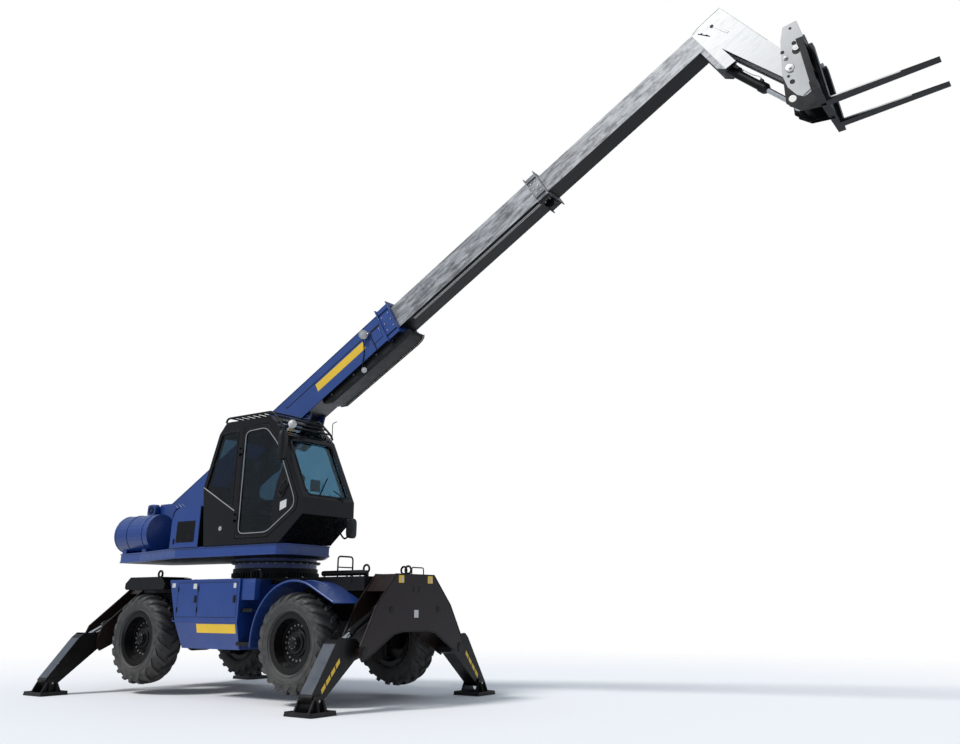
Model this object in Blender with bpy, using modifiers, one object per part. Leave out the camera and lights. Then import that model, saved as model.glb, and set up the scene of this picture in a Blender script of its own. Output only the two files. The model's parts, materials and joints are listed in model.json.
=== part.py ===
"""Rotating telehandler on four stabilisers, with a three-section boom and pallet forks.

Metres, +Z up. The machine is laid out in its own frame: +X forward, +Y to its left,
the slew axis at x = 0 and the ground at z = 0. MACHINE_X then moves the whole machine
so that the origin is under the middle of its length.
"""

import math

import bmesh
import bpy
import numpy as np
from mathutils import Matrix, Vector

# ---------------------------------------------------------------- driving dimensions
FIT = 0.0003            # gap between pieces that touch
RUN = 0.006             # gap between pieces that move past each other

# running gear
WHEEL_BASE = 3.06
TRACK = 1.98            # between the tyres' middle planes
AXLE_Z = 0.703
TYRE_R = 0.59
TYRE_W = 0.42
RIM_R = 0.343
RIM_W = 0.35
HUB_R = 0.13
KINGPIN_Y = 0.70
KINGPIN_R = 0.05
YOKE_Z = 0.21           # inside height of the axle's fork, from the axle's centre
AXLE_TUBE_R = 0.11
DIFF_R = 0.19
FENDER_R = 0.712        # inside radius of the arch over a front wheel
FENDER_T = 0.012

# chassis
FRAME_HALF_W = 0.40
FRAME_Z = 0.95
DECK_Z = 1.31
DECK_TOP = 1.48
DECK_HALF_W = 0.60
BELLY_Z = 0.62
BODY_HALF_W = 1.17      # outer face of the side boxes and fenders
RING_R = 0.62
RING_TOP = 1.62

# stabiliser frames and legs
STAND_IN = 2.26         # rear face of a stabiliser frame, from the slew axis
STAND_OUT = 2.62        # its outer face
PLATE = 0.02
STAND_TOP = 1.51
LEG_X = 2.40            # middle plane of the legs
LEG_T = 0.20
LEG_WALL = 0.03
LEG_PIN_R = 0.045
FRONT_LEG_Y = 1.00      # leg pins
REAR_LEG_Y = 1.22
LEG_Z = 0.62
FRONT_PAD_Y = 1.655     # pad pins
REAR_PAD_Y = 1.92
PAD_PIN_Z = 0.15
PAD_PIN_R = 0.02
PAD_SIZE = 0.42
PAD_T = 0.02
FRONT_EYE_Y = 1.255     # where a leg's cylinder takes hold of the leg
FRONT_EYE_Z = 0.715
REAR_EYE_Y = 1.455
REAR_EYE_Z = 0.70
FRONT_TOP_Y = 0.50      # where it hangs in the frame
FRONT_TOP_Z = 1.085
REAR_TOP_Y = 0.62
REAR_TOP_Z = 1.10
LEG_BARREL_R = 0.05
LEG_ROD_R = 0.03
LEG_BARREL_L = 0.56
LEG_ROD_IN = 0.34       # the rod's inner end at rest, from the barrel's pin
LEG_EYE_R = 0.055
LEG_TOP_PIN_R = 0.03

# turret
TURRET_YAW = 0.0        # degrees
SKIRT_Z = 1.755
SKIRT_TOP = 1.895
RING_UP_R = 0.60
BOOM_Y = 0.15
PIVOT_X = -2.55
PIVOT_Z = 2.38
PIVOT_R = 0.06
TOWER_T = 0.03

# cab
CAB_SIDE = -1.15        # its outer side, and the far one
CAB_FAR = -0.125
CAB_WALL = 0.05
DOOR_T = 0.04
DOOR_GAP = 0.008
GLASS_T = 0.008
HINGE_R = 0.014
HINGE_X = 0.285

# boom, measured along (s) and across (n) its own axis from the pivot
BOOM_TILT = 29.68       # degrees above level at rest
S1_W = 0.42
S1_H = 0.48
S2_W = 0.37
S2_H = 0.37
S3_W = 0.31
S3_H = 0.305
BOOM_WALL = 0.012
S1_REAR = -0.40
S1_END = 5.48
S2_REAR = 3.90
S2_END = 8.50
S3_REAR = 7.20
S3_END = 11.40
COLLAR_1 = 0.25
COLLAR_2 = 0.20

# lift cylinder
LIFT_LOW_X = -2.20
LIFT_LOW_Z = 2.02
LIFT_S = 3.00
LIFT_N = -0.42
LIFT_BARREL_R = 0.085
LIFT_ROD_R = 0.05
LIFT_BARREL_L = 2.20
LIFT_ROD_IN = 0.50      # the rod's inner end at rest, from the barrel's pin
LIFT_EYE_R = 0.08
LIFT_PIN_R = 0.035

# fork carriage and its tilt cylinder
FORK_S = 11.86          # carriage pin on the boom's head
FORK_N = -1.27
FORK_PIN_R = 0.04
FORK_TILT = 4.6         # degrees above level at rest
TILT_S = 11.36          # tilt cylinder's upper pin
TILT_N = -0.52
TILT_X = -0.07          # its lower pin, from the carriage pin, in the carriage's frame
TILT_Z = -0.42
TILT_BARREL_R = 0.06
TILT_ROD_R = 0.035
TILT_BARREL_L = 0.62
TILT_ROD_IN = 0.46      # the rod's inner end at rest, from the barrel's pin
CARRIAGE_W = 1.23
FORK_SPREAD = 0.63
FORK_L = 1.18
FORK_W = 0.12
FORK_T = 0.045
FORK_FACE = 0.30        # from the carriage pin forward to the forks' shanks
FORK_DROP = 0.66        # and down to the tines' top
FORK_TOP = 0.10         # top of the carriage over its pin

ARM_X = FORK_S * math.cos(math.radians(BOOM_TILT)) - FORK_N * math.sin(math.radians(BOOM_TILT))
NOSE_X = PIVOT_X + ARM_X + (FORK_FACE + FORK_T + FORK_L) * math.cos(math.radians(FORK_TILT))
TAIL_X = -3.14          # rear end of the tank
MACHINE_X = -(NOSE_X + 0.055 + TAIL_X) / 2

BLUE = ((0.018, 0.045, 0.20), 0.30, 0.1)
BLACK = ((0.012, 0.012, 0.014), 0.40, 0.2)
IRON = ((0.03, 0.03, 0.033), 0.55, 0.4)
SILVER = ((0.42, 0.43, 0.44), 0.42, 0.6)
WHITE = ((0.75, 0.76, 0.77), 0.35, 0.1)
CHROME = ((0.75, 0.76, 0.78), 0.12, 1.0)
RUBBER = ((0.022, 0.022, 0.022), 0.80, 0.0)
GLASS = ((0.10, 0.18, 0.22), 0.08, 0.0)
SEAT = ((0.03, 0.03, 0.03), 0.85, 0.0)


# ---------------------------------------------------------------- scene and helpers
def clear_scene():
    for item in list(bpy.data.objects):
        bpy.data.objects.remove(item, do_unlink=True)
    for mesh in list(bpy.data.meshes):
        bpy.data.meshes.remove(mesh)


clear_scene()
PARTS = bpy.data.collections.new("telehandler")
bpy.context.scene.collection.children.link(PARTS)
WORK = bpy.data.collections.new("work")
bpy.context.scene.collection.children.link(WORK)
MACHINE = Matrix.Translation((MACHINE_X, 0, 0))


def empty(name, parent, matrix):
    """A joint's frame: an empty placed by its matrix in the machine's frame."""
    name = "joint_" + name
    frame = bpy.data.objects.new(name, None)
    frame.empty_display_size = 0.2
    PARTS.objects.link(frame)
    world = MACHINE @ matrix
    frame.parent = parent
    if parent is None:
        frame.matrix_basis = world
    else:
        frame.matrix_basis = WORLD[parent.name].inverted() @ world
    WORLD[name] = world
    return frame


WORLD = {}


def baked(item, matrix=None):
    """The object as a plain mesh object with its modifiers and its place baked in."""
    bpy.context.view_layer.update()
    graph = bpy.context.evaluated_depsgraph_get()
    mesh = bpy.data.meshes.new_from_object(item.evaluated_get(graph))
    mesh.transform((matrix or Matrix()) @ item.matrix_world)
    tidy = bmesh.new()
    tidy.from_mesh(mesh)
    bmesh.ops.remove_doubles(tidy, verts=tidy.verts, dist=0.00002)
    bmesh.ops.recalc_face_normals(tidy, faces=tidy.faces)
    tidy.to_mesh(mesh)
    tidy.free()
    bpy.data.objects.remove(item, do_unlink=True)
    return in_work(mesh)


def in_work(mesh):
    item = bpy.data.objects.new("piece", mesh)
    WORK.objects.link(item)
    item.hide_render = True
    item.display_type = "WIRE"
    return item


def from_bmesh(shape):
    mesh = bpy.data.meshes.new("piece")
    bmesh.ops.recalc_face_normals(shape, faces=shape.faces)
    shape.to_mesh(mesh)
    shape.free()
    return in_work(mesh)


def box(x, y, z):
    """A box between two values along each axis."""
    shape = bmesh.new()
    size = Vector((x[1] - x[0], y[1] - y[0], z[1] - z[0]))
    middle = Vector((x[1] + x[0], y[1] + y[0], z[1] + z[0])) / 2
    place = Matrix.Translation(middle) @ Matrix.Diagonal((*size, 1))
    bmesh.ops.create_cube(shape, size=1, matrix=place)
    return from_bmesh(shape)


AXES = {
    "X": Matrix.Rotation(math.radians(90), 4, "Y"),
    "Y": Matrix.Rotation(math.radians(-90), 4, "X"),
    "Z": Matrix(),
}


def rod(axis, at, radius, length, sides=20, top=None, turn=0.0):
    """A cylinder, or a cone, centred at a point with its length along an axis."""
    shape = bmesh.new()
    place = Matrix.Translation(at) @ AXES[axis] @ Matrix.Rotation(turn, 4, "Z")
    end = radius if top is None else top
    size = {"segments": sides, "radius1": radius, "radius2": end, "depth": length}
    bmesh.ops.create_cone(shape, cap_ends=True, matrix=place, **size)
    return from_bmesh(shape)


def bore(axis, at, radius, length, sides=20):
    """A cutter for a hole that a pin of this radius turns in, whichever way its flats lie."""
    return rod(axis, at, (radius + FIT) / math.cos(math.pi / sides), length, sides, turn=math.pi / sides)

PLANES = {
    "X": Matrix(((0, 0, 1, 0), (1, 0, 0, 0), (0, 1, 0, 0), (0, 0, 0, 1))),
    "Y": Matrix(((1, 0, 0, 0), (0, 0, 1, 0), (0, 1, 0, 0), (0, 0, 0, 1))),
    "Z": Matrix(),
}


def prism(axis, outline, low, high, holes=()):
    """A flat outline given thickness along an axis: (y, z), (x, z) or (x, y) points."""
    curve = bpy.data.curves.new("outline", "CURVE")
    curve.dimensions = "2D"
    curve.fill_mode = "BOTH"
    curve.extrude = (high - low) / 2
    for points in (outline, *holes):
        spline = curve.splines.new("POLY")
        spline.points.add(len(points) - 1)
        for point, (u, v) in zip(spline.points, points):
            point.co = (u, v, 0, 1)
        spline.use_cyclic_u = True
    item = bpy.data.objects.new("outline", curve)
    WORK.objects.link(item)
    return baked(item, PLANES[axis] @ Matrix.Translation((0, 0, (low + high) / 2)))


def circle(u, v, radius, sides=20):
    """The outline of a hole that a pin of this radius turns in."""
    radius = (radius + FIT) / math.cos(math.pi / sides)
    turns = (np.arange(sides) + 0.5) * 2 * math.pi / sides
    return [(u + radius * math.cos(t), v + radius * math.sin(t)) for t in turns]


def turned(profile, axis, at, steps=24, closed=False):
    """A (radius, height) profile, outer side running down, turned about an axis."""
    mesh = bpy.data.meshes.new("profile")
    points = [(r, 0, h) for r, h in profile]
    edges = [(i, i + 1) for i in range(len(points) - 1)]
    if closed:
        edges.append((len(points) - 1, 0))
    mesh.from_pydata(points, edges, [])
    item = bpy.data.objects.new("turned", mesh)
    WORK.objects.link(item)
    screw = item.modifiers.new("turn", "SCREW")
    screw.steps = steps
    screw.render_steps = steps
    screw.use_merge_vertices = True
    screw.merge_threshold = 0.0001
    return baked(item, Matrix.Translation(at) @ AXES[axis])


def moved(item, matrix):
    item.data.transform(matrix)
    if matrix.determinant() < 0:
        item.data.flip_normals()
    return item


def combine(pieces, cuts=()):
    """The pieces joined into one closed body, then the cuts taken out of it."""
    base = pieces[0]
    for operation, others in (("UNION", pieces[1:]), ("DIFFERENCE", cuts)):
        for other in others:
            step = base.modifiers.new("step", "BOOLEAN")
            step.operation = operation
            step.solver = "EXACT"
            step.object = other
    made = baked(base)
    for other in (*pieces[1:], *cuts):
        bpy.data.objects.remove(other, do_unlink=True)
    return made


MATERIALS = {}


def finish(name, look):
    if look not in MATERIALS:
        made = bpy.data.materials.new("finish_%d" % len(MATERIALS))
        made.use_nodes = True
        made.diffuse_color = (*look[0], 1)
        shader = made.node_tree.nodes["Principled BSDF"]
        shader.inputs["Base Color"].default_value = (*look[0], 1)
        shader.inputs["Roughness"].default_value = look[1]
        shader.inputs["Metallic"].default_value = look[2]
        MATERIALS[look] = made
    own = MATERIALS[look].copy()
    own.name = name
    return own


def node(name, frame, look, pieces, cuts=(), within=None, bevel=0.0, smooth=True):
    """One named part: its pieces, modelled in the machine's or a joint's own frame."""
    if not isinstance(pieces, (list, tuple)):
        pieces = [pieces]
    item = combine(list(pieces), list(cuts)) if len(pieces) > 1 or cuts else pieces[0]
    start = MACHINE if within is None else WORLD[within.name]
    item.data.transform(WORLD[frame.name].inverted() @ start)
    mesh = item.data
    bpy.data.objects.remove(item, do_unlink=True)
    part = bpy.data.objects.new(name, mesh)
    mesh.name = name
    PARTS.objects.link(part)
    part.parent = frame
    mesh.materials.clear()
    mesh.materials.append(finish(name, look))
    if smooth:
        mesh.shade_smooth()
        mesh.set_sharp_from_angle(angle=math.radians(35))
    if bevel:
        edge = part.modifiers.new("edges", "BEVEL")
        edge.width = bevel
        edge.segments = 1
        edge.limit_method = "ANGLE"
    return part


def flip(points):
    return [(-u, v) for u, v in points]


SIDES = (("right", -1), ("left", 1))
ENDS = (("front", 1), ("rear", -1))

CHASSIS = empty("chassis", None, Matrix())


# ---------------------------------------------------------------- chassis
def build_chassis():
    end = STAND_IN - FIT
    pieces = [
        box((-end, end), (-FRAME_HALF_W, FRAME_HALF_W), (FRAME_Z, DECK_Z + 0.01)),
        box((-end + 0.02, end - 0.02), (-DECK_HALF_W, DECK_HALF_W), (DECK_Z, DECK_TOP)),
        box((-0.85, 0.78), (-DECK_HALF_W + 0.01, DECK_HALF_W - 0.01), (BELLY_Z, DECK_Z + 0.02)),
        rod("Z", (0, 0, (DECK_TOP + RING_TOP) / 2 - 0.005), RING_R, RING_TOP - DECK_TOP + 0.01, 36),
    ]
    node("chassis_frame", CHASSIS, IRON, pieces)


def build_side_box(side, sign):
    inner = DECK_HALF_W + FIT
    outline = [(-0.92, 1.465), (-0.61, 0.60), (0.54, 0.60), (0.54, 1.465)]
    low, high = sorted((sign * inner, sign * BODY_HALF_W))
    body = prism("Y", outline, low, high)
    lean = [(sign * (BODY_HALF_W + 0.1), 0.50), (sign * (BODY_HALF_W + 0.1), 0.92),
            (sign * (BODY_HALF_W + 0.0), 0.92), (sign * (BODY_HALF_W - 0.10), 0.50)]
    cut = prism("X", lean, -1.1, 0.7)
    treads = []
    for z in (0.66, 1.06):
        y = sorted((sign * inner, sign * (BODY_HALF_W - 0.05)))
        treads.append(box((0.50, 0.76), y, (z, z + 0.03)))
    back = box((0.50, 0.775), sorted((sign * inner, sign * (inner + 0.04))), (0.66, 1.40))
    node("side_box_" + side, CHASSIS, BLUE, [body, back, *treads], [cut])


def arch(radius, first, last, count):
    turns = np.radians(np.linspace(first, last, count))
    return [(WHEEL_BASE / 2 + radius * math.cos(t), AXLE_Z + radius * math.sin(t)) for t in turns]


def build_front_fender(side, sign):
    inside = arch(FENDER_R, 185.5, 64, 13)
    outside = arch(FENDER_R + FENDER_T, 185.5, 64, 13)
    slope = (0.40, -0.19)
    inside.append((inside[-1][0] + slope[0], inside[-1][1] + slope[1]))
    outside.append((outside[-1][0] + slope[0], outside[-1][1] + slope[1]))
    y = sorted((sign * (DECK_HALF_W + FIT), sign * BODY_HALF_W))
    node("front_fender_" + side, CHASSIS, BLUE, prism("Y", inside + outside[::-1], *y))


def build_rear_fender(side, sign):
    outline = [(-1.10, 1.345), (-1.97, 1.345), (-1.97, 1.42), (-1.88, 1.505), (-1.16, 1.505), (-1.07, 1.42)]
    y = sorted((sign * (DECK_HALF_W + FIT), sign * (BODY_HALF_W - 0.03)))
    node("rear_fender_" + side, CHASSIS, BLACK, prism("Y", outline, *y))


def stand_outline(end):
    if end == "front":
        half = [(0.41, STAND_TOP), (0.79, 1.14), (1.08, 0.69), (1.08, 0.57), (1.03, 0.515),
                (0.82, 0.605), (0.433, 0.80), (0.26, 0.825)]
    else:
        half = [(0.41, STAND_TOP), (0.75, 1.24), (1.24, 0.86), (1.31, 0.70), (1.30, 0.58), (1.24, 0.53),
                (1.0, 0.63), (0.52, 0.80), (0.26, 0.825)]
    return half + [(-y, z) for y, z in half[::-1]]


def build_stand(end, way):
    leg_y, top_y, top_z = STAND_SIZES[end]
    outline = stand_outline(end)
    outer = sorted((way * (STAND_OUT - PLATE), way * STAND_OUT))
    inner = sorted((way * STAND_IN, way * (STAND_IN + PLATE)))
    deep = sorted((way * (STAND_IN + 0.01), way * (STAND_OUT - 0.01)))
    core = [(0.34, 0.86), (0.34, 1.30), (0.46, 1.30), (0.60, 1.30), (0.405, STAND_TOP - 0.005)]
    core = core + [(-y, z) for y, z in core[::-1]]
    pieces = [prism("X", outline, *outer), prism("X", outline, *inner), prism("X", core, *deep)]
    for sign in (-1, 1):
        middle = way * (STAND_IN + STAND_OUT) / 2
        long = STAND_OUT - STAND_IN - 0.02
        pieces.append(rod("X", (middle, sign * leg_y, LEG_Z), LEG_PIN_R, long, 14))
        pieces.append(rod("X", (middle, sign * top_y, top_z), LEG_TOP_PIN_R, long, 10))
    node(end + "_stabiliser_frame", CHASSIS, BLACK, pieces)


STAND_SIZES = {
    "front": (FRONT_LEG_Y, FRONT_TOP_Y, FRONT_TOP_Z),
    "rear": (REAR_LEG_Y, REAR_TOP_Y, REAR_TOP_Z),
}


def build_axle(end, way):
    x = way * WHEEL_BASE / 2
    inner = KINGPIN_Y - 0.10
    profile = [(0, inner), (AXLE_TUBE_R, inner), (AXLE_TUBE_R, 0.28), (DIFF_R, 0.14), (DIFF_R, -0.14),
               (AXLE_TUBE_R, -0.28), (AXLE_TUBE_R, -inner), (0, -inner)]
    pieces = [turned(profile, "Y", (x, 0, AXLE_Z), 20)]
    for sign in (-1, 1):
        y = sorted((sign * (inner - 0.05), sign * inner))
        pieces.append(box((x - 0.09, x + 0.09), y, (AXLE_Z - YOKE_Z - 0.04, AXLE_Z + YOKE_Z + 0.04)))
        out = sorted((sign * (inner - 0.02), sign * (KINGPIN_Y + 0.06)))
        for up in (-1, 1):
            z = sorted((AXLE_Z + up * YOKE_Z, AXLE_Z + up * (YOKE_Z + 0.04)))
            pieces.append(box((x - 0.07, x + 0.07), out, z))
        seat = sorted((sign * 0.24, sign * 0.36))
        pieces.append(box((x - 0.10, x + 0.10), seat, (AXLE_Z, FRAME_Z - FIT)))
    node(end + "_axle", CHASSIS, IRON, pieces)


def build_corner(end, way, side, sign):
    """A steering knuckle with its wheel: the knuckle turns on the kingpin, the wheel on the hub."""
    tag = end + "_" + side
    x = way * WHEEL_BASE / 2
    y = sign * TRACK / 2
    steer = empty("steer_" + tag, CHASSIS, Matrix.Translation((x, sign * KINGPIN_Y, AXLE_Z)))
    spin = empty("spin_" + tag, steer, Matrix.Translation((x, y, AXLE_Z)))
    hub_in = 0.03
    long = TRACK / 2 - hub_in - FIT - KINGPIN_Y
    pieces = [
        rod("Z", (x, sign * KINGPIN_Y, AXLE_Z), KINGPIN_R, 2 * (YOKE_Z - FIT), 14),
        rod("Y", (x, sign * (KINGPIN_Y + long / 2), AXLE_Z), HUB_R, long, 18),
    ]
    node("knuckle_" + tag, steer, IRON, pieces)
    edge = RIM_W / 2
    rim = [(0, 0.075), (0.12, 0.075), (0.15, 0.03), (0.262, 0.03), (0.285, edge), (RIM_R, edge),
           (RIM_R, edge - 0.015), (0.302, edge - 0.03), (0.302, 0.03 - edge), (RIM_R, 0.015 - edge),
           (RIM_R, -edge), (0.285, -edge), (0.262, 0.0), (0.15, 0.0), (0.14, -hub_in), (0, -hub_in)]
    turn = Matrix.Translation((x, y, AXLE_Z)) @ Matrix.Diagonal((1, sign, 1, 1))
    node("rim_" + tag, spin, BLACK, moved(turned(rim, "Y", (0, 0, 0), 20), turn))
    w = TYRE_W / 2
    seat = 0.302 + FIT
    tyre = [(seat, edge - 0.032), (RIM_R + 0.008, edge - 0.036), (RIM_R + 0.012, edge + 0.006), (0.42, w),
            (0.53, w - 0.008), (TYRE_R, w - 0.055), (TYRE_R, 0.055 - w), (0.53, 0.008 - w), (0.42, -w),
            (RIM_R + 0.012, -edge - 0.006), (RIM_R + 0.008, 0.036 - edge), (seat, 0.032 - edge)]
    node("tyre_" + tag, spin, RUBBER, moved(turned(tyre, "Y", (0, 0, 0), 20, True), turn))


LEG_OUTLINES = {
    "front": [(1.02, 0.765), (1.30, 0.785), (1.37, 0.73), (1.755, 0.19), (1.72, 0.115), (1.60, 0.11),
              (1.55, 0.15), (1.04, 0.53), (0.95, 0.555), (0.92, 0.62), (0.94, 0.70)],
    "rear": [(1.24, 0.765), (1.50, 0.775), (1.57, 0.72), (2.02, 0.19), (1.98, 0.115), (1.87, 0.11),
             (1.81, 0.15), (1.26, 0.55), (1.17, 0.575), (1.14, 0.64), (1.16, 0.72)],
}
LEG_SIZES = {
    "front": (FRONT_LEG_Y, FRONT_PAD_Y, FRONT_EYE_Y, FRONT_EYE_Z, FRONT_TOP_Y, FRONT_TOP_Z),
    "rear": (REAR_LEG_Y, REAR_PAD_Y, REAR_EYE_Y, REAR_EYE_Z, REAR_TOP_Y, REAR_TOP_Z),
}


def build_leg(end, way, side, sign):
    """A stabiliser leg on its pin, the pad on the leg's foot, and the leg's cylinder."""
    tag = end + "_" + side
    leg_y, pad_y, eye_y, eye_z, top_y, top_z = LEG_SIZES[end]
    x = way * LEG_X
    leg = empty("leg_" + tag, CHASSIS, Matrix.Translation((x, sign * leg_y, LEG_Z)))
    pad = empty("pad_" + tag, leg, Matrix.Translation((x, sign * pad_y, PAD_PIN_Z)))
    low, high = x - LEG_T / 2, x + LEG_T / 2
    outline = LEG_OUTLINES[end]
    pocket = [(leg_y - 0.12, eye_z + 0.03), (leg_y - 0.12, 0.95), (eye_y + 0.03, 0.95),
              (eye_y + 0.075, eye_z + 0.03), (eye_y + 0.05, eye_z - 0.07), (eye_y - 0.06, eye_z - 0.07)]
    if sign < 0:
        outline = flip(outline)
        pocket = flip(pocket)
    holes = (circle(sign * leg_y, LEG_Z, LEG_PIN_R, 14), circle(sign * pad_y, PAD_PIN_Z, PAD_PIN_R, 10))
    body = prism("X", outline, low, high, holes)
    room = prism("X", pocket, low + LEG_WALL, high - LEG_WALL)
    node("leg_" + tag, leg, BLACK, [body], [room])
    half = LEG_T / 2 + RUN
    ears = []
    for face in (-1, 1):
        span = sorted((x + face * half, x + face * (half + PLATE)))
        ear = [(sign * pad_y - 0.17, PAD_T / 2), (sign * pad_y + 0.17, PAD_T / 2),
               (sign * pad_y + 0.06, PAD_PIN_Z + 0.05), (sign * pad_y - 0.06, PAD_PIN_Z + 0.05)]
        ears.append(prism("X", ear, *span))
    size = PAD_SIZE / 2
    pieces = [
        box((x - size, x + size), (sign * pad_y - size, sign * pad_y + size), (0, PAD_T)),
        *ears,
        rod("X", (x, sign * pad_y, PAD_PIN_Z), PAD_PIN_R, 2 * half + PLATE, 10),
    ]
    node("pad_" + tag, pad, BLACK, pieces)
    eye = (sign * eye_y, eye_z)
    top = (sign * top_y, top_z)
    cylinder("leg_", tag, x, top, eye, CHASSIS)


def cylinder(kind, tag, x, top, eye, parent):
    """A leg's cylinder in the plane across the machine: the barrel hangs on the frame's pin."""
    top3 = Vector((x, *top))
    eye3 = Vector((x, *eye))
    way = (eye3 - top3).normalized()
    turn = way.to_track_quat("Z", "X").to_matrix().to_4x4()
    swing = empty(kind + "cylinder_" + tag, parent, Matrix.Translation(top3) @ turn)
    slide = empty(kind + "rod_" + tag, swing, Matrix.Translation(top3) @ turn)
    reach = (eye3 - top3).length
    local_x = turn.to_3x3().inverted() @ Vector((1, 0, 0))
    across = "X" if abs(local_x.x) > 0.5 else "Y"
    ring = rod(across, (0, 0, 0), LEG_EYE_R, 0.09, 12)
    hole = bore(across, (0, 0, 0), LEG_TOP_PIN_R, 0.2, 10)
    tube = rod("Z", (0, 0, 0.03 + LEG_BARREL_L / 2), LEG_BARREL_R, LEG_BARREL_L, 14)
    inside = bore("Z", (0, 0, 0.10 + LEG_BARREL_L / 2), LEG_ROD_R, LEG_BARREL_L, 12)
    node(kind + "barrel_" + tag, swing, IRON, [ring, tube], [hole, inside], within=swing)
    shaft = rod("Z", (0, 0, (LEG_ROD_IN + reach) / 2), LEG_ROD_R, reach - LEG_ROD_IN, 12)
    eye_ring = rod(across, (0, 0, reach), 0.045, 0.07, 12)
    pin = rod(across, (0, 0, reach), 0.02, LEG_T - 2 * LEG_WALL - 2 * RUN, 10)
    node(kind + "rod_" + tag, slide, CHROME, [shaft, eye_ring, pin], within=slide)


def build_running_gear():
    for end, way in ENDS:
        build_stand(end, way)
        build_axle(end, way)
        for side, sign in SIDES:
            build_corner(end, way, side, sign)
            build_leg(end, way, side, sign)


# ---------------------------------------------------------------- turret and cab
SLEW = empty("slew", CHASSIS, Matrix.Rotation(math.radians(TURRET_YAW), 4, "Z"))


def build_turret():
    slab = [(1.12, -1.12), (1.22, -1.00), (1.16, -0.12), (0.58, 0.44), (0.34, 0.64), (-1.20, 0.64),
            (-2.60, 0.50), (-2.95, 0.42), (-2.95, -0.60), (-2.30, -0.72), (-0.95, -1.12)]
    near = BOOM_Y - S1_W / 2 - 0.02 - TOWER_T
    far = BOOM_Y + S1_W / 2 + 0.02
    tower = [(-0.60, 1.80), (-0.60, 2.02), (-0.95, 2.12), (-1.50, 2.20), (-2.05, 2.52), (-2.30, 2.68),
             (-2.72, 2.68), (-2.86, 2.50), (-2.80, 2.15), (-2.45, 1.80)]
    pieces = [
        prism("Z", slab, SKIRT_Z, SKIRT_TOP),
        prism("Y", tower, near, near + TOWER_T),
        prism("Y", tower, far, far + TOWER_T),
        rod("Z", (0, 0, (RING_TOP + FIT + SKIRT_Z + 0.01) / 2), RING_UP_R,
            SKIRT_Z + 0.01 - RING_TOP - FIT, 36),
        rod("Y", (PIVOT_X, BOOM_Y, PIVOT_Z), PIVOT_R, far - near + TOWER_T, 24),
        rod("Y", (LIFT_LOW_X, BOOM_Y, LIFT_LOW_Z), LIFT_PIN_R, far - near + 0.01, 16),
    ]
    node("turret_frame", SLEW, BLUE, pieces)


CAB = [(-0.31, 1.90), (-0.43, 2.70), (-0.19, 3.44), (-0.05, 3.60), (0.862, 3.60), (1.17, 3.307),
       (1.60, 2.45), (1.60, 2.24), (1.19, 1.90)]
DOOR = [(0.33, 1.98), (0.96, 1.98), (1.47, 2.30), (1.50, 2.44), (1.10, 3.23), (0.82, 3.50), (0.33, 3.48)]


def inset(outline, by):
    """The outline moved inwards by a distance: it runs clockwise or anticlockwise."""
    pts = [Vector(p) for p in outline]
    area = sum(a.x * b.y - b.x * a.y for a, b in zip(pts, pts[1:] + pts[:1]))
    turn = 1 if area > 0 else -1
    made = []
    for before, here, after in zip(pts[-1:] + pts[:-1], pts, pts[1:] + pts[:1]):
        e1 = (here - before).normalized()
        e2 = (after - here).normalized()
        n1 = Vector((-e1.y, e1.x)) * turn
        n2 = Vector((-e2.y, e2.x)) * turn
        half = (n1 + n2).normalized()
        made.append(tuple(here + half * (by / max(half.dot(n1), 0.2))))
    return made


def along(a, b, t):
    return (a[0] + (b[0] - a[0]) * t, a[1] + (b[1] - a[1]) * t)


def panel(a, b, first, last, depth):
    """A strip of the cab's outline from point a to point b, given depth to both sides."""
    p, q = Vector(along(a, b, first)), Vector(along(a, b, last))
    side = Vector((-(q - p).y, (q - p).x)).normalized() * depth
    return [tuple(p + side), tuple(q + side), tuple(q - side), tuple(p - side)]


def hinge_heights():
    return (2.25, 3.15)


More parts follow.
